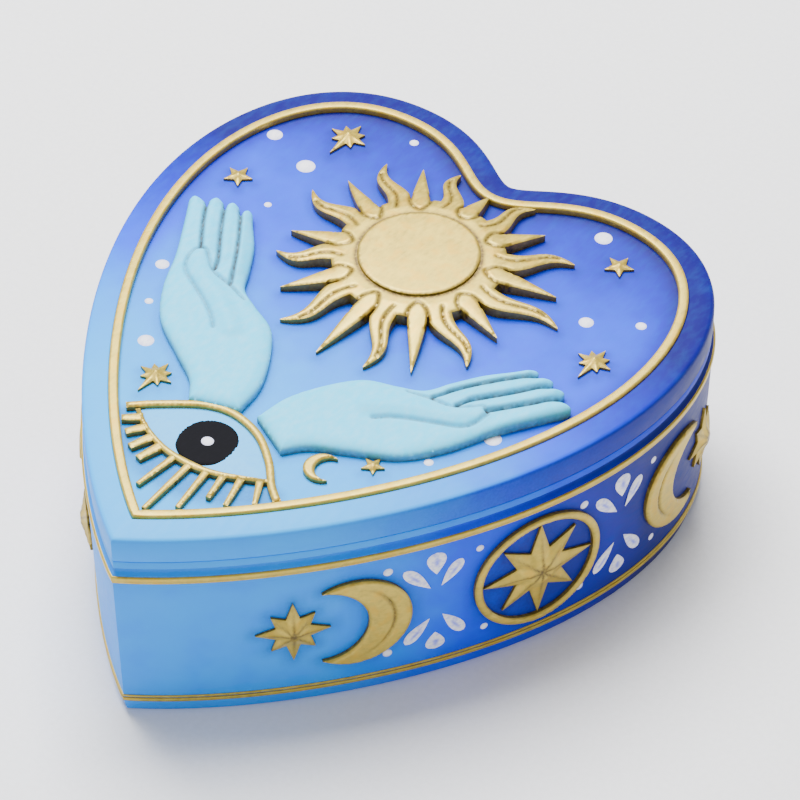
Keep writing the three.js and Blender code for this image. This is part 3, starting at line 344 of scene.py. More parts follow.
def distance_to(points, lines, closed=True):
    """Distance of each point to the nearest of the lines, which are lists of points."""
    best = np.full(len(points), FAR)
    for line in lines:
        line = np.asarray(line, float)
        a = line if closed else line[:-1]
        b = np.roll(line, -1, axis=0) if closed else line[1:]
        run = b - a
        span = np.maximum((run**2).sum(1), 1e-12)
        for begin in range(0, len(points), BATCH):
            part = points[begin : begin + BATCH]
            t = np.clip(((part[:, None] - a) * run).sum(2) / span, 0, 1)
            gap = np.linalg.norm(part[:, None] - a - t[..., None] * run, axis=2).min(1)
            best[begin : begin + BATCH] = np.minimum(best[begin : begin + BATCH], gap)
    return best


def inside(points, outline):
    """Which points lie inside a closed outline."""
    x, y = points[:, 0], points[:, 1]
    result = np.zeros(len(points), bool)
    for a, b in zip(outline, np.roll(outline, -1, axis=0)):
        if a[1] == b[1]:
            continue
        crosses = (a[1] > y) != (b[1] > y)
        result ^= crosses & (x < (b[0] - a[0]) * (y - a[1]) / (b[1] - a[1]) + a[0])
    return result


def within(points, loops):
    """Which points lie inside the first loop and outside the others."""
    keep = inside(points, loops[0])
    for hole in loops[1:]:
        keep &= ~inside(points, hole)
    return keep


def triangulated(outlines, spacing):
    """Triangles that fill the first outline and leave the others open, with a fine grid of points inside."""
    loops = [spaced(o, spacing) for o in outlines]
    lowest, highest = loops[0].min(0), loops[0].max(0)
    rows = []
    for i, y in enumerate(np.arange(lowest[1], highest[1], spacing * ROW_STEP)):
        x = np.arange(lowest[0] + (i % 2) * spacing / 2, highest[0], spacing)
        rows.append(np.column_stack([x, np.full(len(x), y)]))
    grid = np.vstack(rows)
    grid = grid[within(grid, loops)]
    grid = grid[distance_to(grid, loops) > spacing * CLEAR_OF_EDGE] if len(grid) else grid
    points = np.vstack([*loops, grid])
    edges, begin = [], 0
    for loop in loops:
        edges += [(begin + i, begin + (i + 1) % len(loop)) for i in range(len(loop))]
        begin += len(loop)
    verts, _, faces, _, _, _ = geometry.delaunay_2d_cdt([Vector(p) for p in points], edges, [], 0, 1e-5)
    flat = np.array([v[:] for v in verts])
    faces = np.array([f[:] for f in faces])
    return flat, faces[within(flat[faces].mean(1), loops)], loops


def relief_data(outlines, height, spacing, wash_and_shade=None):
    """Points, faces and darkening of a closed relief whose top follows height(points, distance to the edge); the
    darkening is partly washed in and partly painted shade.
    """
    flat, faces, loops = triangulated(outlines, spacing)
    edge = distance_to(flat, loops)
    count = len(flat)
    points = np.vstack([np.column_stack([flat, z]) for z in (height(flat, edge), np.zeros(count))])
    sides = dict.fromkeys(pair for f in faces.tolist() for pair in zip(f, f[1:] + f[:1]))
    quads = [(a, b, b + count, a + count) for a, b in sides if (b, a) not in sides]
    darkening = np.zeros(count) if wash_and_shade is None else wash_and_shade(flat, edge)
    polygons = faces.tolist() + (faces[:, ::-1] + count).tolist() + quads
    return points, polygons, np.concatenate([darkening, np.full(count, FOOT_SHADE)])


def flat_place(points):
    """Relief points seated on the lid's panel."""
    return points + (0, 0, PANEL_Z)


def wall_place(along, z, side):
    """Relief points bent onto the side wall round a centre."""
    return lambda p: on_wall(along + p[:, 0], z + p[:, 1], p[:, 2] - GLUE, side)


def relief(name, outlines, height, spacing, place=flat_place, wash_and_shade=None):
    """A relief as an object."""
    points, polygons, darkening = relief_data(outlines, height, spacing, wash_and_shade)
    return new_piece(name, place(points), polygons, {"wash_and_shade": darkening})


def gather(name, parts, place=flat_place):
    """One object from several (points, faces, wash) islands, each moved to its place."""
    points, faces, begin = [], [], 0
    for island, polygons, _ in parts:
        points.append(place(island))
        faces += [[i + begin for i in polygon] for polygon in polygons]
        begin += len(island)
    return new_piece(name, np.vstack(points), faces, {"wash_and_shade": np.concatenate([darkening for _, _, darkening in parts])})


def rounded_edge(rise, radius):
    """Height of a plateau whose edge is rounded over."""
    def height(points, edge):
        near = np.clip(1 - edge / radius, 0, 1)
        return rise - radius * 0.8 * (1 - np.sqrt(1 - near**2 * 0.96))
    return height


def bell(gap, width):
    """A bell curve: 1 at no gap and near 0 at twice the width."""
    return np.exp(-((gap / width) ** 2))


def edge_wash_and_shade(strength=0.3, width=0.5):
    """Darkening that gathers along the edge, partly washed in and partly painted shade."""
    return lambda points, edge: strength * bell(edge, width)


def spline(points, count=12):
    """A smooth open curve through the points."""
    points = np.asarray(points, float)
    padded = np.vstack([2 * points[0] - points[1], points, 2 * points[-1] - points[-2]])
    t = (np.arange(count) / count)[:, None]
    result = []
    for a, b, c, d in zip(padded, padded[1:], padded[2:], padded[3:]):
        bend, twist = 2 * a - 5 * b + 4 * c - d, 3 * b - a - 3 * c + d
        result.append(0.5 * (2 * b + (c - a) * t + bend * t**2 + twist * t**3))
    return np.vstack([*result, points[-1:]])


def band(centre, widths):
    """Outline of a strip along a centre line, with its width at each point."""
    centre = np.asarray(centre, float)
    widths = np.broadcast_to(np.asarray(widths, float), len(centre))
    run = np.gradient(centre, axis=0)
    run /= np.linalg.norm(run, axis=1, keepdims=True)
    across = np.column_stack([-run[:, 1], run[:, 0]]) * widths[:, None] / 2
    return np.vstack([centre - across, (centre + across)[::-1]])


def circle(radius, x=0.0, y=0.0, count=64):
    """Points of a circle, anticlockwise."""
    angle = np.arange(count) * 2 * math.pi / count
    return np.column_stack([x + radius * np.cos(angle), y + radius * np.sin(angle)])


def lofted(name, profile, spacing_low, spacing_high, paint_rule):
    """A heart-shaped shell: one ring for each (inset, z) of the profile, capped at both ends."""
    rings = [heart_ring(inset) for inset, _ in profile]
    count = len(rings[0][0])
    points = np.vstack([np.column_stack([r, np.full(count, z)]) for (r, _), (_, z) in zip(rings, profile)])
    along = np.concatenate([a for _, a in rings])
    inset = np.repeat([i for i, _ in profile], count)
    faces = []
    for ring in range(0, count * (len(profile) - 1), count):
        for i in range(count):
            a, b = ring + i, ring + (i + 1) % count
            faces.append((a, b, b + count, a + count))
    for ring, spacing, turn in ((0, spacing_low, -1), (len(profile) - 1, spacing_high, 1)):
        flat, fill, _ = triangulated([rings[ring][0]], spacing)
        faces += (fill[:, ::turn] + len(points)).tolist()
        points = np.vstack([points, np.column_stack([flat, np.full(len(flat), profile[ring][1])])])
        along = np.concatenate([along, np.full(len(flat), ON_CAP)])
        inset = np.concatenate([inset, np.full(len(flat), profile[ring][0])])
    tone, shade = paint_rule(points, along, inset)
    return new_piece(name, points, faces, {"tone": tone, "shade": shade}, angle=30, weld=0.002)


# ---------------------------------------------------------------- node trees
MARK_FIELDS = ("facing", "pointing", "size")
PIN_TIP = 0.16
PIN_ROOT = 0.24
PIN_LENGTH = 0.75


def connect(tree, node, inputs):
    """Sets a node's inputs, each to a value or to the socket that feeds it."""
    for key, value in inputs.items():
        if isinstance(value, bpy.types.NodeSocket):
            tree.links.new(value, node.inputs[key])
        else:
            node.inputs[key].default_value = value


def add_node(tree, kind, inputs=None, output=0, **settings):
    """Adds a node with its inputs and settings, and returns one of its outputs."""
    node = tree.nodes.new(kind)
    for key, value in settings.items():
        setattr(node, key, value)
    connect(tree, node, inputs or {})
    return node.outputs[output] if len(node.outputs) else None


def maths(tree, operation, *values, **settings):
    """The result of a Math node."""
    return add_node(tree, "ShaderNodeMath", dict(enumerate(values)), operation=operation, **settings)


def geometry_tree(name, **inputs):
    """A Geometry Nodes tree with named inputs and a material; returns it and the sockets of its inputs."""
    tree = bpy.data.node_groups.new(name, "GeometryNodeTree")
    tree.interface.new_socket("Geometry", in_out="OUTPUT", socket_type="NodeSocketGeometry")
    for label, kind in {"Geometry": "Geometry", **inputs, "Material": "Material"}.items():
        tree.interface.new_socket(label, in_out="INPUT", socket_type=f"NodeSocket{kind}")
    return tree, tree.nodes.new("NodeGroupInput").outputs


def close_tree(tree, given, result):
    """Ends a tree in Realize Instances and Set Material."""
    real = add_node(tree, "GeometryNodeRealizeInstances", {"Geometry": result})
    coat = add_node(tree, "GeometryNodeSetMaterial", {"Geometry": real, "Material": given["Material"]})
    add_node(tree, "NodeGroupOutput", {"Geometry": coat})
    return tree


def apply_tree(piece, tree, values):
    """Runs a tree on a piece with the named values and keeps the result as a plain mesh."""
    modifier = piece.modifiers.new(tree.name, "NODES")
    modifier.node_group = tree
    sockets = {s.name: s.identifier for s in tree.interface.items_tree if s.in_out == "INPUT"}
    for label, value in values.items():
        modifier[sockets[label]] = value
    keep_result(piece)
    piece.data.shade_smooth()
    piece.data.set_sharp_from_angle(angle=math.radians(50))


def bead_tree():
    """Sweeps a bar with rounded edges round a closed line: the line is the piece's own edges."""
    tree, given = geometry_tree("bead_sweep", Width="Float", Height="Float", Round="Float")
    path = add_node(tree, "GeometryNodeMeshToCurve", {"Mesh": given["Geometry"]})
    upright = add_node(tree, "GeometryNodeSetCurveNormal", {"Curve": path}, mode="Z_UP")
    bar = add_node(
        tree, "GeometryNodeCurvePrimitiveQuadrilateral", {"Width": given["Width"], "Height": given["Height"]}
    )
    section = add_node(
        tree, "GeometryNodeFilletCurve",
        {"Curve": bar, "Count": 4, "Radius": given["Round"], "Limit Radius": True}, mode="POLY",
    )
    swept = add_node(tree, "GeometryNodeCurveToMesh", {"Curve": upright, "Profile Curve": section})
    return close_tree(tree, given, swept)


def scatter_tree():
    """Sets one small shape on each point, turned by the attributes facing and pointing, scaled by size."""
    tree, given = geometry_tree("painted_marks", Shape="Object")
    shape = add_node(tree, "GeometryNodeObjectInfo", {"Object": given["Shape"]}, "Geometry")
    facing, pointing, scale = [
        add_node(tree, "GeometryNodeInputNamedAttribute", {"Name": name}, data_type="FLOAT_VECTOR")
        for name in MARK_FIELDS
    ]
    turn = add_node(
        tree, "FunctionNodeAxesToRotation", {"Primary Axis": facing, "Secondary Axis": pointing},
        primary_axis="Z", secondary_axis="X",
    )
    marks = add_node(
        tree, "GeometryNodeInstanceOnPoints",
        {"Points": given["Geometry"], "Instance": shape, "Rotation": turn, "Scale": scale},
    )
    return close_tree(tree, given, marks)


def coil_tree():
    """A helical wire spring."""
    tree, given = geometry_tree(
        "coil_spring", Turns="Float", Radius="Float", Height="Float", Wire="Float", Base="Vector"
    )
    helix = add_node(
        tree, "GeometryNodeCurveSpiral",
        {"Resolution": 40, "Rotations": given["Turns"], "Start Radius": given["Radius"],
         "End Radius": given["Radius"], "Height": given["Height"]},
    )
    section = add_node(tree, "GeometryNodeCurvePrimitiveCircle", {"Resolution": 10, "Radius": given["Wire"]})
    wire = add_node(
        tree, "GeometryNodeCurveToMesh", {"Curve": helix, "Profile Curve": section, "Fill Caps": True}
    )
    seated = add_node(tree, "GeometryNodeTransform", {"Geometry": wire, "Translation": given["Base"]})
    return close_tree(tree, given, seated)


def pin_tree():
    """Pins of the tune: one row of pins for each tooth of the comb, at seeded places round the cylinder."""
    tree, given = geometry_tree(
        "tune_pins", Rows="Int", Pins="Int", Start="Float", Pitch="Float", Radius="Float", Centre="Vector",
        Seed="Int",
    )
    count = maths(tree, "MULTIPLY", given["Rows"], given["Pins"])
    points = add_node(tree, "GeometryNodePoints", {"Count": count})
    row = maths(tree, "MODULO", add_node(tree, "GeometryNodeInputIndex"), given["Rows"])
    along = maths(tree, "MULTIPLY_ADD", row, given["Pitch"], given["Start"])
    chance = tree.nodes.new("FunctionNodeRandomValue")
    chance.data_type = "FLOAT"
    connect(tree, chance, {"Min": 0.0, "Max": 2 * math.pi, "Seed": given["Seed"]})
    angle = next(s for s in chance.outputs if s.enabled and s.type == "VALUE")
    outward = add_node(
        tree, "ShaderNodeCombineXYZ", {"Y": maths(tree, "COSINE", angle), "Z": maths(tree, "SINE", angle)}
    )
    reach = add_node(tree, "ShaderNodeVectorMath", {0: outward, "Scale": given["Radius"]}, operation="SCALE")
    start = add_node(tree, "ShaderNodeCombineXYZ", {"X": along})
    first = add_node(tree, "ShaderNodeVectorMath", {0: reach, 1: given["Centre"]}, operation="ADD")
    spot = add_node(tree, "ShaderNodeVectorMath", {0: first, 1: start}, operation="ADD")
    moved = add_node(tree, "GeometryNodeSetPosition", {"Geometry": points, "Position": spot})
    turn = add_node(tree, "FunctionNodeAlignRotationToVector", {"Vector": outward}, axis="Z")
    pin = add_node(
        tree, "GeometryNodeMeshCone",
        {"Vertices": 8, "Radius Top": PIN_TIP * MM, "Radius Bottom": PIN_ROOT * MM, "Depth": PIN_LENGTH * MM},
    )
    pins = add_node(
        tree, "GeometryNodeInstanceOnPoints", {"Points": moved, "Instance": pin, "Rotation": turn}
    )
    both = tree.nodes.new("GeometryNodeJoinGeometry")
    for part in (given["Geometry"], pins):
        tree.links.new(part, both.inputs["Geometry"])
    return close_tree(tree, given, both.outputs[0])


# ---------------------------------------------------------------- materials
def new_material(name, recipe):
    """A material whose shader takes its inputs from recipe(tree)."""
    material = bpy.data.materials.new(name)
    material.use_nodes = True
    tree = material.node_tree
    tree.nodes.clear()
    shader = tree.nodes.new("ShaderNodeBsdfPrincipled")
    add_node(tree, "ShaderNodeOutputMaterial", {"Surface": shader.outputs[0]})
    connect(tree, shader, recipe(tree))
    return material


def mixed(tree, factor, a, b, blend="MIX"):
    """Colour a turning to b as factor rises."""
    node = tree.nodes.new("ShaderNodeMix")
    node.data_type, node.blend_type = "RGBA", blend
    inputs = {"Factor": factor}
    for i, socket in enumerate(node.inputs):
        if socket.type == "RGBA":
            colour = a if socket.name == "A" else b
            inputs[i] = colour if isinstance(colour, bpy.types.NodeSocket) else (*colour[:3], 1)
    connect(tree, node, inputs)
    return next(s for s in node.outputs if s.type == "RGBA")


def mapped(tree, value, low_in, high_in, low_out=0.0, high_out=1.0):
    """A value remapped from one range to another, clamped."""
    return add_node(
        tree, "ShaderNodeMapRange",
        {"Value": value, "From Min": low_in, "From Max": high_in, "To Min": low_out, "To Max": high_out},
    )


def grain(tree, size_mm, detail=3.0, stretch=(1, 1, 1), rough=0.5):
    """Noise whose features are about size_mm across, in object coordinates."""
    place = add_node(tree, "ShaderNodeTexCoord", output="Object")
    drawn = add_node(tree, "ShaderNodeMapping", {"Vector": place, "Scale": stretch})
    return add_node(
        tree, "ShaderNodeTexNoise",
        {"Vector": drawn, "Scale": 1 / (size_mm * MM), "Detail": detail, "Roughness": rough}, "Fac",
    )


def bumped(tree, height, depth_mm, strength=1.0):
    """A normal bent by bumps of a real depth."""
    return add_node(
        tree, "ShaderNodeBump", {"Height": height, "Strength": strength, "Distance": depth_mm * MM}
    )


def attribute(tree, name):
    """A value kept on the mesh's points."""
    return add_node(tree, "ShaderNodeAttribute", output="Fac", attribute_name=name)


def broken(tree, name, speckle):
    """A value kept on the mesh's points, broken up by speckle."""
    return maths(tree, "MULTIPLY", attribute(tree, name), speckle, use_clamp=True)


def scaled(colour, *shares):
    """A colour with each channel multiplied by its share, or all of them by one share."""
    return tuple(c * share for c, share in zip(colour, shares * (3 // len(shares))))


def ramp(tree, factor, stops):
    """A colour ramp through (position, colour) stops."""
    node = tree.nodes.new("ShaderNodeValToRGB")
    connect(tree, node, {"Fac": factor})
    elements = node.color_ramp.elements
    while len(elements) < len(stops):
        elements.new(0.5)
    for element, (position, colour) in zip(elements, stops):
        element.position = position
        element.color = (*colour[:3], 1)
    return node.outputs["Color"]


def blended_resin(tree):
    """Cast polyresin under acrylic paint, airbrushed from pale blue to violet, turning navy where it is airbrushed
    deeper and where shade is painted: satin, slightly uneven.
    """
    shade = colours()
    drift = mapped(tree, grain(tree, 9, 2), 0.3, 0.7, -0.03, 0.03)
    blends = ((0.0, shade.tip), (0.27, shade.sky), (0.52, shade.cornflower), (0.75, shade.periwinkle),
              (1.0, shade.violet))
    blue = ramp(tree, maths(tree, "ADD", attribute(tree, "tone"), drift), blends)
    strokes = grain(tree, 1.6, 4, (1.0, 0.35, 1.0), 0.6)
    blue = mixed(tree, mapped(tree, strokes, 0.42, 0.72, 0.0, 0.06), blue, shade.sky)
    deep = mixed(tree, 0.82, blue, shade.navy, "MULTIPLY")
    deep = mixed(tree, 0.55, deep, shade.navy)
    # Navy from the shade attribute: real airbrushing, and painted shade round the relief, in the cove and on the
    # sides.
    airbrushed_and_shaded = broken(tree, "shade", mapped(tree, grain(tree, 0.7, 2), 0.3, 0.7, 0.82, 1.1))
    return {
        "Base Color": mixed(tree, airbrushed_and_shaded, blue, deep),
        "Roughness": mapped(tree, strokes, 0.3, 0.7, 0.42, 0.54),
        "IOR": 1.49, "Specular IOR Level": 0.15, "Normal": bumped(tree, strokes, 0.05, 0.5),
    }


def gilt_paint(tree):
    """Gold acrylic brushed over resin, with thin brown washed into the recesses, brown painted shade on the feet,
    edges and lower faces and painted yellow glints: half metallic, streaky.
    """
    gilt = colours().gilt
    strokes = grain(tree, 1.1, 4, (1.0, 0.4, 1.0), 0.62)
    gold = mixed(tree, mapped(tree, strokes, 0.35, 0.68), scaled(gilt, 0.72), gilt)
    bright = tuple(min(1, c * 1.15 + 0.01) for c in gilt)
    gold = mixed(tree, mapped(tree, grain(tree, 4.5, 3), 0.42, 0.75, 0.0, 0.5), gold, bright)
    # Painted glints: yellow-orange patches that stand in for light caught by the gold.
    painted_glint = scaled(gilt, 1.0, 0.82, 0.3)
    gold = mixed(tree, mapped(tree, grain(tree, 3.2, 4), 0.5, 0.68, 0.0, 0.65), gold, painted_glint)
    # Brown washed into the recesses, and painted shade on the feet, edges and down-facing faces.
    darkening = broken(tree, "wash_and_shade", mapped(tree, grain(tree, 0.8, 3), 0.25, 0.6, 0.55, 1.1))
    return {
        "Base Color": mixed(tree, darkening, gold, colours().gilt_wash_and_shade),
        "Roughness": mapped(tree, strokes, 0.3, 0.7, 0.33, 0.5),
        "Metallic": 0.45, "Normal": bumped(tree, strokes, 0.06, 0.7),
    }


def skin_paint(tree):
    """Pale blue acrylic with grey in the creases and along the edges, partly washed in and partly painted shade:
    matt to satin.
    """
    shade = colours()
    strokes = grain(tree, 1.4, 3, (1.0, 0.5, 1.0))
    pale = mixed(tree, mapped(tree, strokes, 0.35, 0.7, 0.0, 0.1), shade.skin, shade.white)
    darkening = broken(tree, "wash_and_shade", mapped(tree, grain(tree, 1.2, 2), 0.25, 0.6, 0.6, 1.05))
    return {
        "Base Color": mixed(tree, darkening, pale, shade.skin_wash_and_shade), "Roughness": 0.5, "IOR": 1.49,
        "Specular IOR Level": 0.15, "Normal": bumped(tree, strokes, 0.04, 0.5),
    }


def plain_paint(colour, under, rough, amount=0.2):
    """Recipe of one coat of acrylic with brush marks, through which the coat under it shows a little."""
    def recipe(tree):
        strokes = grain(tree, 0.8, 3, (1.0, 0.5, 1.0))
        thin = mixed(tree, mapped(tree, strokes, 0.45, 0.75, 0.0, amount), colour, under)
        thin = mixed(tree, mapped(tree, attribute(tree, "wash_and_shade"), 0.0, 1.0, 0.0, 0.75), thin, under)
        return {
            "Base Color": thin, "Roughness": rough, "Specular IOR Level": 0.1,
            "Normal": bumped(tree, strokes, 0.05, 0.5),
        }
    return recipe


def felt_cloth(tree):
    """Wool felt: no weave, a soft nap that scatters light at a grazing view."""
    nap = grain(tree, 0.35, 5, rough=0.75)
    felt = colours().felt
    return {
        "Base Color": mixed(tree, mapped(tree, nap, 0.3, 0.7), scaled(felt, 0.55), felt), "Roughness": 0.95,
        "Sheen Weight": 0.5, "Sheen Roughness": 0.4, "Normal": bumped(tree, nap, 0.25),
    }


def metal(code, dark_code, rough, size_mm, stretch, depth_mm):
    """Recipe of a bare metal with the fine marks of how it was made."""
    def recipe(tree):
        marks = grain(tree, size_mm, 4, stretch, 0.6)
        return {
            "Base Color": mixed(tree, mapped(tree, marks, 0.35, 0.7), linear(dark_code), linear(code)),
            "Roughness": mapped(tree, marks, 0.3, 0.7, rough - 0.07, rough + 0.08),
            "Metallic": 1.0, "Normal": bumped(tree, marks, depth_mm, 0.6),
        }
    return recipe


def clear_plastic(tree):
    """Moulded clear polystyrene: glossy, with the faintest mould haze."""
    return {
        "Roughness": mapped(tree, grain(tree, 6, 2), 0.3, 0.7, 0.03, 0.09),
        "Base Color": linear("#f3f9fb"), "Transmission Weight": 1.0, "IOR": 1.2,
    }


def table_paper(tree):
    """Plain seamless paper: matt and almost white."""
    fibre = mapped(tree, grain(tree, 1.5, 3), 0.3, 0.7)
    return {"Base Color": mixed(tree, fibre, linear("#f1f1f2"), linear("#f6f6f7")), "Roughness": 0.9}


FINISHES = {
    "resin": ("painted_resin_blue", lambda: blended_resin),
    "gilt": ("gilt_paint_washed", lambda: gilt_paint),
    "skin": ("pale_blue_paint_washed", lambda: skin_paint),
    "white": ("white_acrylic", lambda: plain_paint(colours().white, colours().periwinkle, 0.4)),
    "pearl": ("pearl_acrylic", lambda: plain_paint(colours().white, colours().cornflower, 0.35, 0.5)),
    "black": ("black_acrylic", lambda: plain_paint(colours().black, linear("#101018"), 0.75, 0.3)),
    "eye": ("eye_blue_acrylic", lambda: plain_paint(linear("#4fbcff"), colours().sky, 0.4)),
    "felt": ("wool_felt_blue", lambda: felt_cloth),
    "pad": ("white_felt_pad", lambda: plain_paint(linear("#e3dccb"), linear("#b9b09a"), 0.95, 0.6)),
    "zinc": ("zinc_die_casting", lambda: metal("#c3c6c9", "#8e9296", 0.42, 0.9, (1, 1, 1), 0.05)),
    "steel": ("turned_steel", lambda: metal("#d6d8da", "#a3a6aa", 0.25, 0.25, (8, 1, 1), 0.01)),
    "spring": ("blued_spring_steel", lambda: metal("#8d95a8", "#4c5260", 0.3, 0.4, (1, 1, 4), 0.01)),
    "comb": ("ground_comb_steel", lambda: metal("#c9ccd2", "#8f949c", 0.28, 0.3, (8, 1, 1), 0.015)),
    "brass": ("turned_brass", lambda: metal("#e0b662", "#b0823a", 0.27, 0.35, (6, 1, 1), 0.012)),
    "clear": ("clear_polystyrene", lambda: clear_plastic),
    "paper": ("seamless_paper", lambda: table_paper),
}
_made = {}


def finish(name):
    """The named finish, made once."""
    if name not in _made:
        label, recipe = FINISHES[name]
        _made[name] = new_material(label, recipe())
    return _made[name]


# ---------------------------------------------------------------- drawing of the ornaments
RAY_ROOT = 18.5
VALLEY = 21.8
RAY_BEND = 1.5
RING_ALONG = 105.0
STAR_FROM_RING = 63.0
MOON_FROM_RING = 48.0
RING_RADIUS = 17.7
RING_WIDTH = 2.1
DISC_RISE = 4.85
# Direction of the tip in degrees and reach of each ray, clockwise from the cleft: straight, then wavy.
RAYS = (
    (90, 29.6), (71, 35.4), (54, 33), (36, 38.7), (16, 36.2), (2, 41.3), (-19, 33.8), (-36, 39.2), (-56, 39.5),
    (-73, 40), (-91, 40.8), (-112, 39.8), (-128, 35.5), (-150, 35.8), (-163, 34), (-189, 38.7), (-203, 35.7),
    (-221, 38.8), (-235, 35.2), (-251, 34.6),
)


def at_angle(radius, angle):
    """A point at a radius and angle."""
    return np.array([radius * math.cos(angle), radius * math.sin(angle)])


def ray_edge(i, side, share):
    """Points of one ray: side 0 is its centre line and side 1 or -1 an edge; share runs from root to tip."""
    degrees, reach = RAYS[i]
    wavy = i % 2 == 1
    nominal = math.pi / 2 - i * 2 * math.pi / len(RAYS)
    radius = RAY_ROOT + (reach - RAY_ROOT) * share
    bend = -RAY_BEND * np.sin(2 * math.pi * share) if wavy else 0 * share
    tuck = 1 - 0.3 * np.exp(-((share / 0.16) ** 2))
    half = (3.6 * (1 - share) ** 0.7 if wavy else 3.1 * (1 - share) ** 0.92) * tuck + 0.06
    angle = nominal + (math.radians(degrees) - nominal) * share + (bend + side * half) / radius
    return np.column_stack([radius * np.cos(angle), radius * np.sin(angle)])


def sun_outline():
    """The closed outline of the rays, anticlockwise: they part from each other at the valleys."""
    outline = []
    for i, (_, reach) in enumerate(RAYS):
        clear = np.linspace((VALLEY - RAY_ROOT) / (reach - RAY_ROOT), 1, 22)
        outline += [*ray_edge(i, 1, clear), *ray_edge(i, -1, clear)[::-1]]
    return np.array(outline[::-1])


# Side and share of the points of the arch pressed round the root of a straight ray.
ROOT_ARCH = ((1.1, 0.34), (1.15, 0.2), (0.95, 0.05), (0, -0.07), (-0.95, 0.05), (-1.15, 0.2), (-1.1, 0.34))


def sun_creases():
    """Grooves: a line down each wavy ray and an arch round the root of each straight one."""
    lines = []
    for i in range(len(RAYS)):
        if i % 2:
            lines.append(ray_edge(i, 0.2, np.linspace(0.04, 0.8, 16)))
        else:
            lines.append(spline([ray_edge(i, side, np.array([share]))[0] for side, share in ROOT_ARCH], 5))
    return lines


def star_outline(radii, waist):
    """Outline of a star with one ray for each radius, from straight up and anticlockwise."""
    outline = []
    for i, radius in enumerate(radii):
        angle = math.pi / 2 + i * 2 * math.pi / len(radii)
        outline += [at_angle(radius, angle), at_angle(waist, angle + math.pi / len(radii))]
    return np.array(outline)


def star_height(rise, slope=0.55):
    """Faces that climb from the edge to a ridge along each ray."""
    return lambda points, edge: 0.45 * rise + np.minimum(edge * slope, rise)


def ridge_wash_and_shade(points, edge):
    """Darkening along the edge and round the centre, partly washed in and partly painted shade."""
    radius = np.linalg.norm(points - points.mean(0), axis=1)
    return 0.35 * bell(edge, 0.35) + 0.25 * bell(radius, 1.2)


def crescent_outline(radius, inner, shift, count=40):
    """A crescent whose inner arc is moved by shift along +X, so that it opens that way."""
    meet = (radius**2 - inner**2 + shift**2) / (2 * shift)
    outer_end, inner_end = math.acos(meet / radius), math.acos((meet - shift) / inner)
    outer = np.linspace(outer_end, 2 * math.pi - outer_end, count)
    back = np.linspace(2 * math.pi - inner_end, inner_end, count)
    return np.vstack([
        np.column_stack([radius * np.cos(outer), radius * np.sin(outer)]),
        np.column_stack([shift + inner * np.cos(back), inner * np.sin(back)])[1:-1],
    ])


HAND_OUTER = ((-14.5, -38.5), (-19, -32.5), (-27, -27.2), (-38, -19.6), (-45, -9.5), (-50, 2.3), (-56, 13.5),
              (-59.6, 19.8))
# Valley, tip, valley and so on along the four fingers.
FINGERTIPS = ((-59.6, 19.8), (-60.4, 23.2), (-55.6, 22.2), (-55.4, 26.6), (-51.2, 24.0), (-50.6, 27.6),
              (-46.6, 24.6), (-45.2, 27.6), (-41.8, 23.4))
HAND_INNER = ((-41.8, 23.4), (-36, 16.4), (-31.5, 8.5), (-28, 2.0), (-22, -1.6), (-14, -5.8), (-8, -14.0),
              (-3.5, -24), (-2.3, -34.0))


def hand_outline():
    """The left hand, palm up: wrist, outer edge, four fingertips and inner edge."""
    t = np.linspace(0, 1, 9)[1:, None]
    tips = []
    for a, b, c in zip(FINGERTIPS[::2], FINGERTIPS[1::2], FINGERTIPS[2::2]):
        a, b, c = np.array(a), np.array(b), np.array(c)
        tips.append((1 - t) ** 2 * a + 2 * (1 - t) * t * (b * 1.5 - (a + c) * 0.25) + t**2 * c)
    return np.vstack([spline(HAND_OUTER, 8), *tips, spline(HAND_INNER, 8)[1:]])


HAND_ROOT = np.array([8.0, -35.0])


def turned(points, degrees):
    """Points turned round the origin."""
    c, s = math.cos(math.radians(degrees)), math.sin(math.radians(degrees))
    return points @ np.array([[c, s], [-s, c]])


def placed_hand(points, side):
    """Hand points on the panel: the left hand a little shorter, the right one mirrored, narrowed and turned."""
    points = np.array(points, float)
    flat = points[:, :2]
    if side == "left":
        flat = flat * (1, 0.955) + (0, 0.045 * HAND_ROOT[1])
    else:
        flat = turned(turned(flat * (-1, 1) - HAND_ROOT, -53.4) * (0.93, 1), 48.6) + HAND_ROOT
    return np.column_stack([flat, points[:, 2:]])


FINGER_LINES = (
    ((-55.6, 22.4), (-51.5, 15.5), (-47.5, 9.5), (-45.2, 6.2)),
    ((-51.2, 24.2), (-46.5, 16.5), (-42.5, 10.5), (-39.5, 6.0), (-38.0, 2.8)),
    ((-46.6, 24.8), (-41.5, 17.5), (-37.0, 10.5), (-33.6, 4.5), (-31.6, 0.9)),
)
THUMB_LINES = (
    ((-46.2, 5.6), (-45.8, 1.6), (-43.6, -2.2), (-38.5, -5.4), (-32.5, -8.8), (-28.0, -12.0), (-25.0, -15.0)),
    ((-46.2, 5.6), (-43.8, 6.6), (-41.2, 4.6), (-37.5, 1.6), (-31.6, 0.2), (-25.5, -1.6)),
)
FINGER_AXES = (
    ((-58.4, 20.6), (-53.0, 10.0), (-48.6, 0.5)),
    ((-53.6, 22.8), (-48.4, 13.5), (-44.0, 7.0)),
    ((-49.0, 23.9), (-43.6, 15.2), (-38.6, 7.5)),
    ((-44.4, 23.6), (-39.0, 14.6), (-33.4, 5.8)),
)
PALM_HOLLOW = (-34, -17)
THUMB_AXIS = ((-44.2, 3.8), (-38.5, -1.6), (-30.0, -6.0), (-21.0, -13.0))


def crease_gap(points, lines):
    """Distance of each point to the nearest of the smoothed lines."""
    return distance_to(points, [spline(line, 6) for line in lines], closed=False)


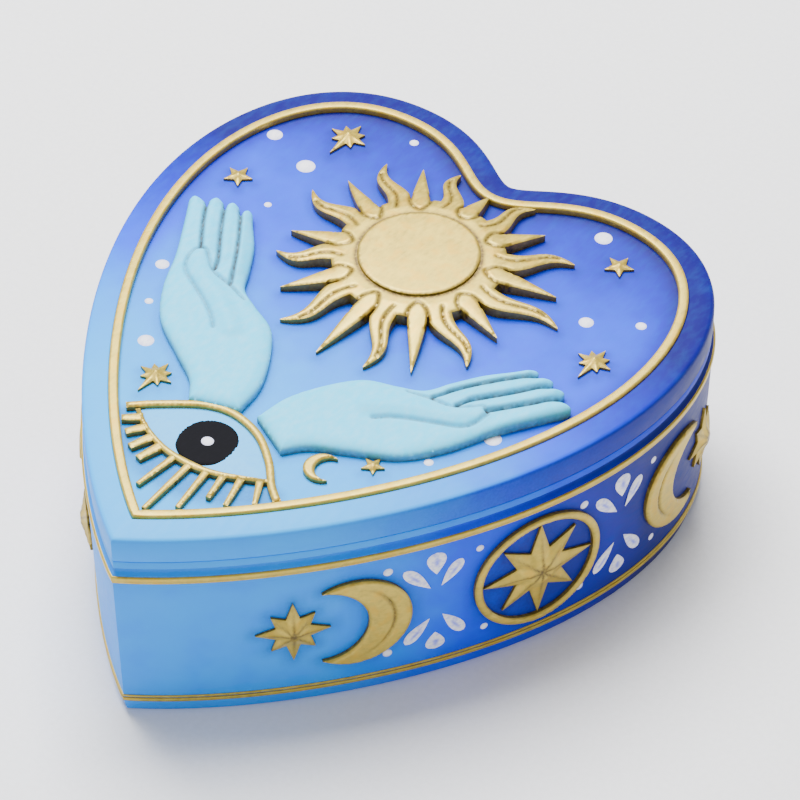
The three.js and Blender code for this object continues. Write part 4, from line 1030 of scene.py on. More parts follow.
def hand_height(rise):
    """A soft palm with four fingers and a thumb raised on it, and creases pressed in."""
    def height(points, edge):
        near = np.clip(1 - edge / 4.2, 0, 1)
        palm = rise * (0.42 + 0.58 * np.sqrt(1 - near**2 * 0.97))
        fingers = distance_to(points, FINGER_AXES, closed=False)
        palm += 0.75 * bell(fingers, 1.9) * smooth((points[:, 1] + 4) / 12)
        palm += 1.0 * smooth(1 - crease_gap(points, [THUMB_AXIS]) / 4.2)
        palm -= 0.35 * smooth(1 - np.linalg.norm((points - PALM_HOLLOW) / (11, 6), axis=1))
        for lines, depth, width in ((FINGER_LINES, 1.3, 0.5), (THUMB_LINES, 0.75, 0.55)):
            palm -= depth * bell(crease_gap(points, lines), width)
        return np.maximum(palm, 0.3)
    return height


def hand_wash_and_shade(points, edge):
    """Grey, partly washed in and partly painted shade: strong between the fingers, faint round the thumb and along
    the edge.
    """
    fingers, thumb = crease_gap(points, FINGER_LINES), crease_gap(points, THUMB_LINES)
    return 0.95 * bell(fingers, 0.62) + 0.55 * bell(thumb, 0.5) + 0.3 * bell(edge, 0.45)


UPPER_LID = ((-25.5, -48.6), (-24.1, -47.3), (-19.6, -43.4), (-10.8, -37.2), (-3, -35.3), (5.9, -37.5),
             (13.6, -43), (19.2, -49), (23.6, -52.5))
LOWER_LID = ((-22.4, -47.9), (-16.4, -51.8), (-8.6, -54.6), (-0.8, -55.1), (5.9, -54), (12.5, -51.2),
             (18.1, -48.4))
LASH_TIPS = ((-23.6, -52.6), (-19.8, -55.7), (-15.8, -59), (-11.7, -60.9), (-6.2, -67.6), (0.1, -73.1),
             (6.2, -68.1), (9.9, -61.3), (14.8, -60.9), (20, -56.4))
LASH_ROOTS = ((-19.5, -49.3), (-16.5, -51), (-13.3, -52.6), (-9.8, -53.8), (-5, -54.8), (-0.5, -55),
              (4.2, -54.6), (8.3, -53.5), (12.3, -51.8), (16.3, -49.6))
PUPIL = (-2.1, -46.5)
PUPIL_RADIUS = 7.7
THICK_LASHES = 4


def eye_opening():
    """Outline of the eyeball between the lids."""
    upper = spline(UPPER_LID[2:-1], 10)
    lower = spline(LOWER_LID, 10)
    return np.vstack([lower, upper[::-1]])


SKY_STARS = (
    ("sky_star_1", 8, 5.4, -44, 63), ("sky_star_2", 8, 4.8, 55, 32), ("sky_star_3", 8, 4.8, -27, -35.5),
    ("sky_star_4", 5, 3.9, 40, 64), ("sky_star_5", 5, 3.9, -57, 34), ("sky_star_6", 5, 3.0, 34, -29),
)
SKY_MOON = {"turn": 17.1887, "place": (25, -37)}
WHITE_DOTS = (
    (-29.5, 71.8, 1.2), (-60, 52.8, 2.1), (-46, 47.8, 2.5), (-44.5, 30.3, 1.0), (30.5, 70.8, 2.3),
    (56.5, 49.8, 1.4), (45, 42.8, 1.9), (-51.5, -3.2, 1.8), (-45.5, -15.7, 1.1), (-37, -27.2, 2.1), (51, -4.2, 2.2),
    (43.5, -19.7, 1.2),
)


def sky_star_outline(points, radius, x, y):
    """A small star; the ones with eight points have a long lower one."""
    radii = [radius * (0.8 if points == 8 and i % 2 else 1) for i in range(points)]
    if points == 8:
        radii[4] *= 1.45
    return star_outline(radii, radius * (0.5 if points == 8 else 0.46)) + (x, y)


def frieze_outlines():
    """Outlines round the ring on one side, centred on the ring: name, outline, place along."""
    compass = [15.3, 14.2] * 4
    small = [10.0, 8.3] * 4
    return {
        "front_star": (star_outline(small, 4.9) * (0.92, 1), -STAR_FROM_RING),
        "back_star": (star_outline(small, 4.9) * (0.92, 1), STAR_FROM_RING),
        "front_moon": (crescent_outline(14.3, 11.8, 8.3) * (-1, 1), -MOON_FROM_RING),
        "back_moon": (crescent_outline(14.3, 11.8, 8.3), MOON_FROM_RING),
        "compass": (star_outline(compass, 6.8), 0.0),
        "ring": (circle(RING_RADIUS, count=96), 0.0),
    }


# ---------------------------------------------------------------- airbrushing and painted shade on the resin
# The painted shadow round the relief falls a little to the lower right.
PAINTED_SHADOW_SHIFT = (0.7, -0.9)
COVE_TOP = BEAD_TOP + 1.9


def lid_paint(points, along, inset):
    """Tone and shade over the lid: the margin darkens sooner than the panel; round the relief and along the border
    the shade is painted shadow with some airbrushing, between the lashes and on the sides it is painted shade.
    """
    y = points[:, 1]
    panel_inset = size_of("lid_margin")
    border = distance_to(points[:, :2], [heart_ring(panel_inset)[0]])
    top = points[:, 2] > LID_LOW + 5
    on_panel = (inset >= panel_inset - 0.01) | ((along == ON_CAP) & top)
    panel = 0.03 + 0.52 * smooth((y + 58) / 92) + 0.27 * smooth((y - 34) / 42)
    panel += 0.3 * bell(border, 5) * smooth((y + 30) / 60)
    tone = np.where(on_panel, panel, np.clip((y + 50) / 96, 0, 1))
    shade = np.zeros(len(points))
    chosen = on_panel & top
    spots = points[chosen][:, :2]
    # Distance to the relief from points moved back, so that its painted shadow falls to the lower right.
    relief_gap = distance_to(spots - PAINTED_SHADOW_SHIFT, panel_outlines())
    lashes = distance_to(spots, [spline(LOWER_LID, 6) - (0, 4.0)], closed=False)
    # Painted shade in the gaps between the lashes, below the lower lid.
    below = smooth((-47.0 - spots[:, 1]) / 2) * smooth(1.5 - lashes / 5.5)
    upper = smooth((spots[:, 1] + 20) / 60)
    # Painted shadow of the relief, a little stronger on the upper panel.
    relief_shadow = 0.5 * bell(relief_gap, 1.7) * (0.55 + 0.45 * upper)
    # Adds painted shade along the inside of the border on the upper panel, and in the lash gaps.
    shade[chosen] = np.clip(relief_shadow + 0.8 * bell(border[chosen], 2.0) * upper + 0.5 * below, 0, 1)
    # The lid's sides are painted bluer and darker, most towards the lobes, for the shade that falls on them.
    side = (inset < 0.5) & (along < ON_CAP) & (points[:, 2] < MARGIN_TOP - 1)
    tone = np.where(side, 0.22 + 0.78 * tone, tone)
    return tone, np.maximum(shade, 0.72 * side * smooth((y + 70) / 78))


def panel_outlines():
    """Outlines of everything that stands on the panel."""
    hand = hand_outline()
    rays = sun_outline() + middle("sun_disc")[:2]
    stars = [sky_star_outline(*star[1:]) for star in SKY_STARS]
    return [placed_hand(hand, "left"), placed_hand(hand, "right"), rays, *stars]


def body_paint(points, along, inset):
    """Tone and shade over the case: airbrushed deep blue inside the ring, painted shade in the cove, by the beads
    and towards the lobes, and round the ornaments shade that is partly airbrushed and partly painted shadow.
    """
    u, z = np.abs(along), points[:, 2]
    # The case's tone starts at sky blue rather than the paler point blue: painted shade for the weaker light on its
    # sides.
    tone = 0.27 + 0.73 * np.clip((points[:, 1] + 52) / 84, 0, 1)
    tone = np.where((z > COVE_TOP) & (inset < 2), 0.7 * tone, tone)
    on_face = (np.abs(inset - wall_inset(z)) < 0.1) & (u < ON_CAP)
    chosen = on_face & (z > PLINTH_TOP - 0.1) & (z < UPPER_BEAD + 2)
    spots = np.column_stack([u[chosen] - RING_ALONG, z[chosen] - FRIEZE_Z])
    gap = distance_to(spots, [outline + (away, 0) for outline, away in frieze_outlines().values()])
    # Painted shade that deepens along the side towards the lobes.
    violet = smooth((u[chosen] - 85) / 60)
    rim = np.minimum(np.abs(z[chosen] - PLINTH_TOP - 2), np.abs(z[chosen] - UPPER_BEAD))
    in_ring = smooth((RING_RADIUS + 0.1 - np.linalg.norm(spots, axis=1)) / 1.5)
    # Painted shade beside the beads at the foot and head of the wall.
    bead_shade = 0.5 * bell(rim, 3.5) * (0.25 + 0.75 * violet)
    shade = np.zeros(len(points))
    shade[chosen] = np.clip(0.42 * bell(gap, 2.4) + 0.62 * in_ring + bead_shade + 0.42 * violet, 0, 0.95)
    # Painted shade in the cove under the lid: faint at the front, deep towards the lobes.
    cove = bell(z - BEAD_TOP - 1.1, 0.95) * (u < ON_CAP) * (inset < 5)
    return tone, np.maximum(shade, (0.2 + 0.7 * smooth((u - 70) / 60)) * cove)


# ---------------------------------------------------------------- operators: case
PLINTH_WALL = 8.0
FLOOR_THICKNESS = 4.0
SPIGOT_DEPTH = 7.2
# Inset from the wall's foot and height.
FOOT_EDGE = ((1.4, 0.0), (0.95, 0.15), (0.7, 0.5))
# Inset from the wall's head and rise above the upper bead.
COVE = ((0.1, 0.15), (0.5, 0.4), (0.9, 0.85), (1.12, 1.35), (1.15, 1.7), (1.0, 1.95))
FLOOR_HOLES = {
    "winding_arbor": 2.2, "bed_screw_1": 1.6, "bed_screw_2": 1.6, "bed_screw_3": 1.6, "cover_screw_1": 1.1,
    "cover_screw_2": 1.1,
}


class CaseBody(bpy.types.Operator):
    """Builds the hollow heart-shaped case with its plinth, cove and painted side wall."""

    bl_idname = "music_box.case_body"
    bl_label = "Case Body"

    def execute(self, context):
        rim = size_of("rim_inset")
        inner = rim + size_of("wall")
        floor_top = low("tray_lining")[2] - GLUE
        floor_low = floor_top - FLOOR_THICKNESS
        foot, head = wall_inset(PLINTH_TOP), wall_inset(BEAD_TOP)
        profile = [
            (PLINTH_WALL, floor_low), (PLINTH_WALL, 0.0),
            *[(foot + inset, z) for inset, z in FOOT_EDGE], (foot + 0.08, PLINTH_TOP - 0.25),
            *[(wall_inset(z), z) for z in np.linspace(PLINTH_TOP, BEAD_TOP, 34)],
            *[(head + inset, BEAD_TOP + rise) for inset, rise in COVE],
            (rim + 0.1, BEAD_TOP + 2.05), (rim, BEAD_TOP + 2.2), (rim, BODY_TOP - 0.35),
            (rim + 0.12, BODY_TOP - 0.1), (rim + 0.4, BODY_TOP), (inner - 0.5, BODY_TOP),
            (inner, BODY_TOP - 0.5), (inner, floor_top + 1), (inner, floor_top),
        ]
        case = lofted("case_shell", profile, 6.0, 6.0, body_paint)
        fit_out(case, finish("resin"), "case", "blue_resin")
        cut_floor(case, floor_low, floor_top)
        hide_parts("box_body")
        return {"FINISHED"}


def cut_floor(case, floor_low, floor_top):
    """Drills the holes for the key's arbor and the screws through the floor."""
    work = bmesh.new()
    for node, radius in FLOOR_HOLES.items():
        x, y, _ = middle(node) * MM
        place = Matrix.Translation((x, y, (floor_low + floor_top) / 2 * MM))
        bmesh.ops.create_cone(
            work, cap_ends=True, segments=24, radius1=radius * MM, radius2=radius * MM,
            depth=(floor_top - floor_low + 2) * MM, matrix=place,
        )
    mesh = bpy.data.meshes.new("floor_drill")
    work.to_mesh(mesh)
    work.free()
    drill = linked("floor_drill", mesh)
    cut = case.modifiers.new("floor_holes", "BOOLEAN")
    cut.object, cut.operation, cut.solver = drill, "DIFFERENCE", "EXACT"
    keep_result(case)
    bpy.data.objects.remove(drill)


class Lid(bpy.types.Operator):
    """Builds the lid with its spigot, sloping margin and sunk panel, airbrushed and with painted shade."""

    bl_idname = "music_box.lid"
    bl_label = "Lid"

    def execute(self, context):
        margin = size_of("lid_margin")
        rim_low = BODY_TOP + 0.3
        edge_top = MARGIN_TOP - 0.8
        spigot = size_of("rim_inset") + size_of("wall") + 0.4
        profile = [
            (spigot + 3, LID_LOW + SPIGOT_DEPTH), (spigot + 3, LID_LOW + 0.6), (spigot + 2.4, LID_LOW),
            (spigot + 0.6, LID_LOW), (spigot, LID_LOW + 0.6), (spigot, rim_low), (0.35, rim_low),
            (0.1, rim_low + 0.08), (0.02, rim_low + 0.35), (0.02, edge_top - 1.1), (0.2, edge_top - 0.5),
            (0.6, edge_top - 0.12), (1.2, edge_top + 0.06), (3.5, edge_top + 0.4), (margin - 0.2, MARGIN_TOP),
            (margin + 0.35, PANEL_Z + 0.35), (margin + 0.7, PANEL_Z),
        ]
        lid = lofted("lid_shell", profile, 6.0, 1.25, lid_paint)
        fit_out(lid, finish("resin"), "lid_assembly", "blue_resin", "lid")
        return {"FINISHED"}


def ring_line(name, inset, z):
    """The heart outline at an inset and height, as a loop of edges."""
    ring = heart_ring(inset)[0]
    points = np.column_stack([ring, np.full(len(ring), z)]) * MM
    mesh = bpy.data.meshes.new(name)
    mesh.from_pydata(points.tolist(), [(i, (i + 1) % len(ring)) for i in range(len(ring))], [])
    return linked(name, mesh)


class Beads(bpy.types.Operator):
    """Sweeps the gilt border of the lid and the beads round the sides."""

    bl_idname = "music_box.beads"
    bl_label = "Gilt Beads"

    def execute(self, context):
        tree = bead_tree()
        border, bead = size_of("border_width"), size_of("bead_width")
        border_inset = size_of("lid_margin") + border / 2
        lower, upper, fine, top = PLINTH_TOP + 0.6, PLINTH_TOP + 1.82, UPPER_BEAD + 0.15, UPPER_BEAD + 1.25
        rows = (
            ("lid_border", border_inset, PANEL_Z + 0.75, border, size_of("border_height"), "lid_assembly",
             "lid_bead"),
            ("base_bead_lower", wall_inset(lower) + 0.45, lower, bead, bead * 0.66, "case", "base_bead"),
            ("base_bead_upper", wall_inset(upper) + 0.4, upper, bead * 0.85, bead * 0.38, "case"),
            ("upper_bead_main", wall_inset(top) + 0.35, top, bead, bead, "case", "upper_bead"),
            ("upper_bead_fine", wall_inset(UPPER_BEAD) + 0.3, fine, bead * 0.6, bead * 0.4, "case"),
        )
        for name, inset, z, wide, tall, *body_and_nodes in rows:
            piece = ring_line(name, inset, z)
            apply_tree(piece, tree, {
                "Width": wide * MM, "Height": tall * MM, "Round": min(wide, tall) * 0.27 * MM,
                "Material": finish("gilt"),
            })
            shade_facing_down(piece)
            gild(piece, *body_and_nodes)
        return {"FINISHED"}


def shade_facing_down(piece):
    """Paints shade on the faces of a swept bead that look down or sit against the wall."""
    mesh = piece.data
    normals = np.zeros(len(mesh.vertices) * 3, np.float32)
    mesh.vertices.foreach_get("normal", normals)
    down = -normals.reshape(-1, 3)[:, 2]
    layer = mesh.attributes.new("wash_and_shade", "FLOAT", "POINT")
    layer.data.foreach_set("value", (0.8 * smooth((down + 0.15) / 0.9)).astype(np.float32))


# ---------------------------------------------------------------- operators: relief on the lid
class Sun(bpy.types.Operator):
    """Models the sun: wavy and straight rays that fall away from a raised disc."""

    bl_idname = "music_box.sun"
    bl_label = "Sun"

    def execute(self, context):
        centre = middle("sun_disc")[:2]
        creases = sun_creases()
        spacing, root_rise, disc_radius = size_of("detail"), size_of("sun_rise"), size_of("sun_disc")
        fall = root_rise - size_of("tip_rise")
        reach = max(far for _, far in RAYS)

        def height(points, edge):
            radius = np.linalg.norm(points, axis=1)
            top = root_rise - fall * np.clip((radius - RAY_ROOT) / (reach - RAY_ROOT), 0, 1)
            groove = 0.45 * bell(distance_to(points, creases, closed=False), 0.4)
            return top - 0.3 * np.clip(1 - edge / 0.45, 0, 1) + 0.1 * smooth(edge / 2.2) - groove

        # Washed into the grooves, with painted shade along the edges and a painted shadow round the foot of the
        # disc.
        def wash_and_shade(points, edge):
            gap = distance_to(points, creases, closed=False)
            ring = np.linalg.norm(points, axis=1) - disc_radius - 0.4
            return 0.9 * bell(gap, 0.42) + 0.25 * bell(edge, 0.3) + 0.95 * bell(ring, 0.7)

        def place(points):
            return points + (*centre, PANEL_Z)

        def dome(points, edge):
            radius = np.linalg.norm(points, axis=1)
            crown = 0.2 * (1 - (radius / disc_radius) ** 2)
            return DISC_RISE + crown - 0.3 * np.clip(1 - edge / 0.5, 0, 1) ** 2

        rays = relief("sun_rays_gilt", [sun_outline()], height, spacing, place, wash_and_shade)
        gild(rays, "lid_assembly", "sun_rays")
        circle_line = [circle(disc_radius, count=120)]
        # Strong painted shade round the edge of the disc.
        disc = relief("sun_disc_gilt", circle_line, dome, spacing, place, edge_wash_and_shade(0.7, 0.4))
        gild(disc, "lid_assembly", "sun_disc")
        return {"FINISHED"}


class Hands(bpy.types.Operator):
    """Sculpts the two cupped hands and their wrists."""

    bl_idname = "music_box.hands"
    bl_label = "Hands"

    def execute(self, context):
        height = hand_height(size_of("hand_rise"))
        points, faces, darkening = relief_data([hand_outline()], height, size_of("detail") * 0.85, hand_wash_and_shade)
        for side in ("left", "right"):
            where = flat_place(placed_hand(points, side))
            hand = new_piece(f"{side}_hand_painted", where, faces, {"wash_and_shade": darkening}, 60)
            fit_out(hand, finish("skin"), "lid_assembly", "pale_blue_paint", f"{side}_hand")
        return {"FINISHED"}


class Eye(bpy.types.Operator):
    """Builds the eye: gilt lids and lashes round a pale eyeball with a black pupil."""

    bl_idname = "music_box.eye"
    bl_label = "Eye"

    def execute(self, context):
        spacing = size_of("detail")
        upper, lower = spline(UPPER_LID, 12), spline(LOWER_LID, 12)
        count = len(lower)
        taper = np.interp(np.arange(count), [0, count / 2, count - 1], [1.1, 2.0, 1.1])
        lids = [
            relief_data([band(line, widths)], rounded_edge(1.75, 0.75), spacing, edge_wash_and_shade(0.35, 0.3))
            for line, widths in ((upper, 2.0), (lower, taper))
        ]
        gild(gather("eye_lids", lids), "lid_assembly", "eye_frame")
        lashes = []
        for i, (root, tip) in enumerate(zip(LASH_ROOTS, LASH_TIPS)):
            widths = np.linspace(2.7, 1.9, 8) if i < THICK_LASHES else np.linspace(1.9, 1.2, 8)
            strip = [band(np.linspace(root, tip, 8), widths)]
            lashes.append(relief_data(strip, rounded_edge(1.6, 0.45), spacing, edge_wash_and_shade(0.3, 0.25)))
        gild(gather("eye_lashes_gilt", lashes), "lid_assembly", "eye_lashes")
        ball = relief("eyeball", [eye_opening()], lambda p, e: 0.45 + 0.5 * smooth(e / 7), spacing,
                      wash_and_shade=edge_wash_and_shade(0.5, 0.8))
        fit_out(ball, finish("eye"), "lid_assembly", "pale_blue_paint", "eye_ball")
        pupil = relief("pupil", [circle(PUPIL_RADIUS, *PUPIL, count=72)],
                       lambda p, e: 0.95 + 0.2 * smooth(e / 6) - 0.3 * np.clip(1 - e / 0.4, 0, 1), spacing)
        fit_out(pupil, finish("black"), "lid_assembly", "black_paint", "eye_pupil")
        return {"FINISHED"}


class Sky(bpy.types.Operator):
    """Adds the small gilt stars and moon of the lid."""

    bl_idname = "music_box.sky"
    bl_label = "Stars and Moon"

    def execute(self, context):
        spacing = size_of("detail") * 0.8
        rise = size_of("star_rise")
        for name, *shape in SKY_STARS:
            outline = sky_star_outline(*shape)
            star = relief(f"{name}_gilt", [outline], star_height(rise), spacing, wash_and_shade=ridge_wash_and_shade)
            gild(star, "lid_assembly", name)
        outline = turned(crescent_outline(4.6, 3.8, 2.1, 24), SKY_MOON["turn"]) + SKY_MOON["place"]
        moon = relief("sky_moon_gilt", [outline], rounded_edge(rise, 0.7), spacing, wash_and_shade=edge_wash_and_shade(0.35, 0.3))
        gild(moon, "lid_assembly", "sky_moon")
        return {"FINISHED"}


def mark_points(name, rows):
    """Points that carry facing, pointing and size for the painted marks."""
    mesh = bpy.data.meshes.new(name)
    mesh.from_pydata([(np.array(row[0]) * MM).tolist() for row in rows], [], [])
    for column, key in enumerate(MARK_FIELDS, start=1):
        layer = mesh.attributes.new(key, "FLOAT_VECTOR", "POINT")
        layer.data.foreach_set("vector", np.array([row[column] for row in rows], np.float32).ravel())
    return linked(name, mesh)


def scatter_marks(name, shape, rows, paint_name, body):
    """Sets a copy of the shape at each row, as one piece of dabbed paint."""
    piece = mark_points(name, rows)
    apply_tree(piece, scatter_tree(), {"Shape": shape, "Material": finish(paint_name)})
    fit_out(piece, finish(paint_name), body, "pale_blue_paint")


def dab():
    """A unit dab of paint: a low dome of one millimetre radius."""
    points, faces, darkening = relief_data(
        [circle(1.0, count=20)], lambda p, e: 0.1 + smooth(e / 0.5) * 0.9, 0.33, edge_wash_and_shade(0.35, 0.25)
    )
    return new_piece("dab", points, faces, {"wash_and_shade": darkening})


class PaintedDots(bpy.types.Operator):
    """Dabs the white dots of the night sky, and the light in the eye."""

    bl_idname = "music_box.painted_dots"
    bl_label = "Painted Dots"

    def execute(self, context):
        shape = dab()
        thick = size_of("paint_dot")
        up, along = (0, 0, 1), (1, 0, 0)
        rows = [((x, y, PANEL_Z - 0.02), up, along, (r, r * 0.96, thick)) for x, y, r in WHITE_DOTS]
        rows.append(((*PUPIL, PANEL_Z + 1.12), up, along, (1.6, 1.5, thick)))
        scatter_marks("sky_dots", shape, rows, "white", "lid_assembly")
        bpy.data.objects.remove(shape)
        return {"FINISHED"}


# ---------------------------------------------------------------- operators: the sides
class Frieze(bpy.types.Operator):
    """Models the stars, moons and ringed compass star round both sides."""

    bl_idname = "music_box.frieze"
    bl_label = "Frieze"

    def execute(self, context):
        spacing, rise = size_of("detail"), size_of("frieze_rise")
        outlines = frieze_outlines()
        for side_name, side in (("right", 1), ("left", -1)):
            for end, opens in (("front", -1), ("back", 1)):
                name = f"{side_name}_{end}"
                outline, away = outlines[f"{end}_star"]
                place = wall_place(RING_ALONG + away, FRIEZE_Z, side)
                height = star_height(rise * 1.1, 0.5)
                star = relief(f"{name}_star_gilt", [outline], height, spacing, place, ray_wash_and_shade(outline))
                gild(star, "case", f"{name}_star")
                outline, away = outlines[f"{end}_moon"]
                place = wall_place(RING_ALONG + away, FRIEZE_Z, side)
                moon = moon_relief(f"{name}_moon_gilt", outline, rise, spacing, place, opens)
                gild(moon, "case", f"{name}_moon")
            compass, _ = outlines["compass"]
            star = relief_data([compass], star_height(rise * 1.15, 0.45), spacing, ray_wash_and_shade(compass))
            band_lines = [circle(RING_RADIUS, count=110), circle(RING_RADIUS - RING_WIDTH, count=110)[::-1]]
            ring = relief_data(band_lines, rounded_edge(rise, 0.7), spacing, edge_wash_and_shade(0.4, 0.3))
            place = wall_place(RING_ALONG, FRIEZE_Z, side)
            piece = gather(f"{side_name}_compass_gilt", (ring, star), place)
            gild(piece, "case", f"{side_name}_ring_star")
        return {"FINISHED"}


def ray_wash_and_shade(outline):
    """Darkening along the edge and in thin lines from the centre to each point of a star, partly washed in and
    partly painted shade.
    """
    centre = outline.mean(0)
    spokes = [np.array([centre, point]) for point in outline[::2]]
    longest = np.linalg.norm(outline - centre, axis=1).max()

    def wash_and_shade(points, edge):
        gap = distance_to(points, spokes, closed=False)
        reach = np.linalg.norm(points - centre, axis=1) / longest
        return 0.35 * bell(edge, 0.35) + 0.95 * bell(gap, 0.38) * (1.1 - reach)

    return wash_and_shade


def moon_relief(name, outline, rise, spacing, place, opens):
    """A crescent with a groove that follows its inner curve."""
    groove = [circle(12.4, 2.6 * opens, 0, 80)]
    height = rounded_edge(rise, 0.8)

    def line(points):
        return bell(distance_to(points, groove), 0.45) * smooth(1.6 - np.abs(points[:, 1]) / 8)

    return relief(name, [outline], lambda p, e: height(p, e) - 0.45 * line(p), spacing, place,
                  lambda p, e: 0.8 * line(p) + 0.35 * bell(e, 0.35))


# Fat end and tail, along the wall and up from the frieze's middle, and width.
PETALS = (
    ((-7.2, 12.1), (-1.5, 5.6), 3.4), ((0, 15.0), (0, 10.0), 5.0), ((5.8, 11.6), (1.3, 5.6), 3.4),
    ((-6.8, -11.4), (-1.5, -5.4), 3.4), ((0, -14.3), (0, -10.8), 5.0), ((6.5, -11.4), (1.8, -4.9), 3.4),
)
PETAL_DOTS = ((-12.2, 14.6, 1.2), (11.2, 14.4, 1.0), (-12.2, -14.2, 1.2), (13, -14.1, 1.0))
PETAL_CENTRES = (-27.5, 25.0)


def petal_shape():
    """A unit petal: round at its root and pointed along +X."""
    t = np.linspace(0, 1, 22)
    half = 0.5 * np.sin(math.pi * t**0.62) ** 0.9
    upper = np.column_stack([t - 0.45, half])
    lower = upper[::-1] * (1, -1)
    points, faces, _ = relief_data(
        [np.vstack([lower[1:-1], upper])[::-1]], lambda p, e: 0.25 + smooth(e / 0.16) * 0.75, 0.07,
    )
    spread = np.hypot(points[:, 0] * 1.1 + 0.05, points[:, 1] * 1.6)
    wash_and_shade = np.where(points[:, 2] > 0, 0.85 * smooth(1.15 - spread / 0.3) * np.clip(points[:, 2], 0, 1), 0)
    return new_piece("petal", points, faces, {"wash_and_shade": wash_and_shade})


class Petals(bpy.types.Operator):
    """Paints the pearly petals and dots between the moons and the rings."""

    bl_idname = "music_box.petals"
    bl_label = "Petals"

    def execute(self, context):
        shapes = petal_shape(), dab()
        thick = size_of("paint_dot")
        petals, dots = [], []
        for side in (1, -1):
            for away in PETAL_CENTRES:
                for fat, tail, wide in PETALS:
                    fat, tail = np.array(fat), np.array(tail)
                    run = np.linalg.norm(tail - fat)
                    lead = (tail - fat) / run
                    long = run + wide * 0.45
                    along, up = fat + lead * (long - wide) * 0.45
                    u = RING_ALONG + away + along
                    facing, ahead = wall_facing(u, side)
                    lean = ahead * lead[0] + Vector((0, 0, lead[1]))
                    place = on_wall(u, FRIEZE_Z + up, 0.05, side)[0]
                    petals.append((place, facing, lean, (long, wide, thick * 1.6)))
                for along, up, radius in PETAL_DOTS:
                    u = RING_ALONG + away + along
                    facing, ahead = wall_facing(u, side)
                    place = on_wall(u, FRIEZE_Z + up, 0.02, side)[0]
                    dots.append((place, facing, ahead, (radius, radius, thick)))
        scatter_marks("frieze_petals", shapes[0], petals, "pearl", "case")
        scatter_marks("frieze_dots", shapes[1], dots, "white", "case")
        for shape in shapes:
            bpy.data.objects.remove(shape)
        return {"FINISHED"}


# ---------------------------------------------------------------- operators: inside
DRUM_RADIUS = 6.4
DRUM_BORE = 1.1
DRUM_CHAMFER = 0.3
DRUM_SIDES = 72
TUNE_ROWS = 18
PINS_PER_ROW = 9
COIL_WIRE = 0.3
CAD_FINISHES = {
    "felt": ("tray_lining",),
    "zinc": ("bedplate", "spring_housing", "governor_frame"),
    "brass": ("crown_gear", "cylinder_pinion", "great_wheel", "worm_wheel", "air_brake", "plunger_cap",
              "winding_key"),
    "steel": ("winding_arbor", "cylinder_arbor", "governor_arbor", "governor_pinion", "worm", "stop_plunger",
              "bed_screw_1", "bed_screw_2", "bed_screw_3", "comb_screw_1", "comb_screw_2", "cover_screw_1",
              "cover_screw_2"),
    "spring": ("mainspring",),
    "comb": ("tuned_comb",),
    "pad": ("plunger_pad",),
    "clear": ("movement_cover",),
}


class Movement(bpy.types.Operator):
    """Finishes the inside: felt, metals, the pinned cylinder and the plunger's spring."""

    bl_idname = "music_box.movement"
    bl_label = "Movement"

    def execute(self, context):
        for name, nodes in CAD_FINISHES.items():
            for node in nodes:
                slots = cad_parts[node].data.materials
                slots.clear()
                slots.append(finish(name))
        self.cylinder()
        self.spring()
        return {"FINISHED"}

    def cylinder(self):
        """A turned brass cylinder with one row of pins for each tooth of the comb."""
        (start, _, _), (stop, _, _) = low("tune_cylinder"), high("tune_cylinder")
        _, y, z = middle("cylinder_arbor")
        edge = DRUM_RADIUS - DRUM_CHAMFER
        ends = [(start, DRUM_BORE), (start, edge), (start + DRUM_CHAMFER, DRUM_RADIUS),
                (stop - DRUM_CHAMFER, DRUM_RADIUS), (stop, edge), (stop, DRUM_BORE)]
        rings = [circle(r, y, z, DRUM_SIDES) for _, r in ends]
        points = np.vstack([np.insert(ring, 0, x, axis=1) for ring, (x, _) in zip(rings, ends)])
        faces = []
        for ring in range(len(ends)):
            here, following = ring * DRUM_SIDES, (ring + 1) % len(ends) * DRUM_SIDES
            for i in range(DRUM_SIDES):
                j = (i + 1) % DRUM_SIDES
                faces.append((here + i, here + j, following + j, following + i))
        drum = new_piece("pinned_cylinder", points, faces)
        pitch = (stop - start) / TUNE_ROWS
        apply_tree(drum, pin_tree(), {
            "Rows": TUNE_ROWS, "Pins": PINS_PER_ROW, "Start": (start + pitch / 2) * MM, "Pitch": pitch * MM,
            "Radius": (DRUM_RADIUS - 0.1) * MM, "Centre": (0.0, y * MM, z * MM), "Seed": 7,
            "Material": finish("brass"),
        })
        fit_out(drum, finish("brass"), "cylinder", "brass", "tune_cylinder")

    def spring(self):
        """The plunger's spring, between the cover and the cap."""
        first, last = low("plunger_spring"), high("plunger_spring")
        x, y, _ = (first + last) / 2
        spring = new_piece("plunger_coil", [(0, 0, 0)], [])
        apply_tree(spring, coil_tree(), {
            "Turns": 6.0, "Radius": ((last - first)[0] / 2 - COIL_WIRE) * MM,
            "Height": (last[2] - first[2] - 2 * COIL_WIRE) * MM, "Wire": COIL_WIRE * MM,
            "Base": (x * MM, y * MM, (first[2] + COIL_WIRE) * MM), "Material": finish("spring"),
        })
        fit_out(spring, finish("spring"), "case", "spring_steel", "plunger_spring")


# ---------------------------------------------------------------- stage
CAMERA = {"azimuth": 37.04, "elevation": 43.61, "distance": 1082.0, "target": (7.9, 16.2, 32.4), "lens": 195.1}
FLOOR_HALF = 3000.0
# Name, place in metres, size in metres and power in watts.
LIGHTS = (
    ("key_softbox", (-0.4, 0.3, 1.15), 0.8, 47.0),
    ("fill_softbox", (0.75, -0.55, 0.75), 1.0, 2.0),
    ("front_softbox", (-0.5, -1.0, 0.5), 1.0, 2.0),
)


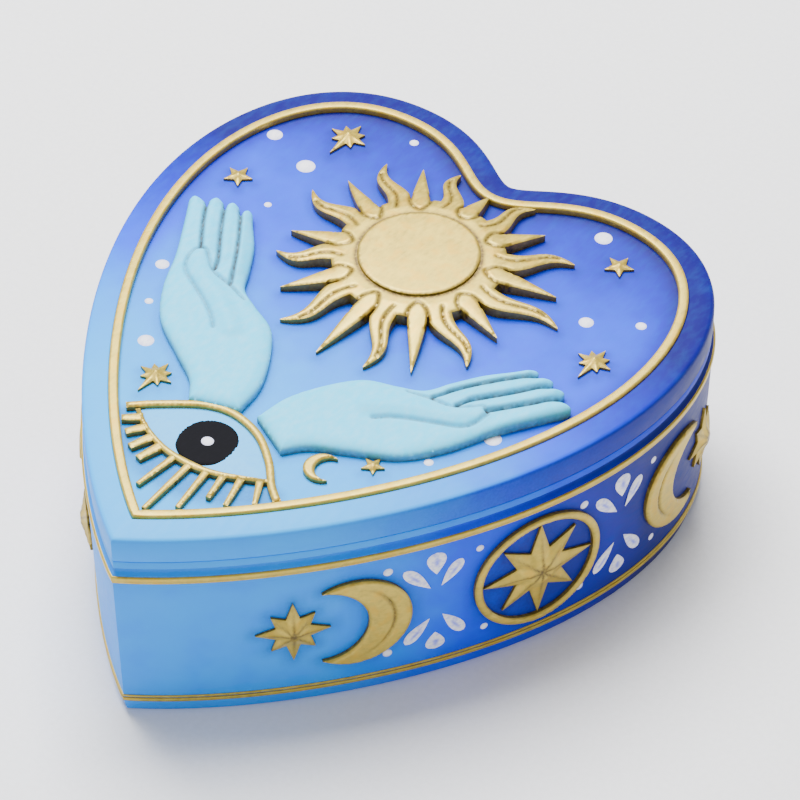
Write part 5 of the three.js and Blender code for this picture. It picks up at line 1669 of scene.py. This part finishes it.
class Stage(bpy.types.Operator):
    """Sets the pale floor, the soft studio lights and the camera."""

    bl_idname = "music_box.stage"
    bl_label = "Stage"

    def execute(self, context):
        points = np.array([(-1, -1, 0), (1, -1, 0), (1, 1, 0), (-1, 1, 0)]) * FLOOR_HALF
        floor = new_piece("paper_floor", points, [(0, 1, 2, 3)])
        floor.data.materials.append(finish("paper"))
        for name, place, width, power in LIGHTS:
            lamp = bpy.data.lights.new(name, "AREA")
            lamp.size, lamp.energy = width, power
            light = linked(name, lamp)
            light.location = place
            light.rotation_euler = (Vector((0, 0, 0.03)) - light.location).to_track_quat("-Z", "Y").to_euler()
        world = bpy.data.worlds.new("soft_studio")
        world.use_nodes = True
        background = world.node_tree.nodes["Background"]
        background.inputs["Color"].default_value = linear("#f4f6fa")
        background.inputs["Strength"].default_value = 0.5
        context.scene.world = world
        turn, tilt = math.radians(CAMERA["azimuth"]), math.radians(CAMERA["elevation"])
        away = Vector((math.sin(turn) * math.cos(tilt), -math.cos(turn) * math.cos(tilt), math.sin(tilt)))
        data = bpy.data.cameras.new("camera")
        data.lens, data.clip_end = CAMERA["lens"], 20
        camera = linked("camera", data)
        camera.location = (Vector(CAMERA["target"]) + away * CAMERA["distance"]) * MM
        camera.rotation_euler = (-away).to_track_quat("-Z", "Y").to_euler()
        context.scene.camera = camera
        return {"FINISHED"}


# ---------------------------------------------------------------- panel and registration
STEPS = (Stage, CaseBody, Lid, Beads, Sun, Hands, Eye, Sky, PaintedDots, Frieze, Petals, Movement)


class MusicBoxPanel(bpy.types.Panel):
    """Lists the sizes, the colours and the steps of the music box."""

    bl_idname = "VIEW3D_PT_music_box"
    bl_label = "Music Box"
    bl_space_type = "VIEW_3D"
    bl_region_type = "UI"
    bl_category = "Music Box"

    def draw(self, context):
        for group in (context.scene.music_box_sizes, context.scene.music_box_colours):
            column = self.layout.column(align=True)
            for key in group.__annotations__:
                column.prop(group, key)
        for step in STEPS:
            self.layout.operator(step.bl_idname)


CLASSES = (MusicBoxSizes, MusicBoxColours, *STEPS, MusicBoxPanel)


def register():
    for kind in CLASSES:
        bpy.utils.register_class(kind)
    bpy.types.Scene.music_box_sizes = PointerProperty(type=MusicBoxSizes)
    bpy.types.Scene.music_box_colours = PointerProperty(type=MusicBoxColours)


def unregister():
    del bpy.types.Scene.music_box_colours
    del bpy.types.Scene.music_box_sizes
    for kind in reversed(CLASSES):
        bpy.utils.unregister_class(kind)


def main():
    register()
    for step in STEPS:
        family, name = step.bl_idname.split(".")
        getattr(getattr(bpy.ops, family), name)()


if __name__ == "__main__":
    main()
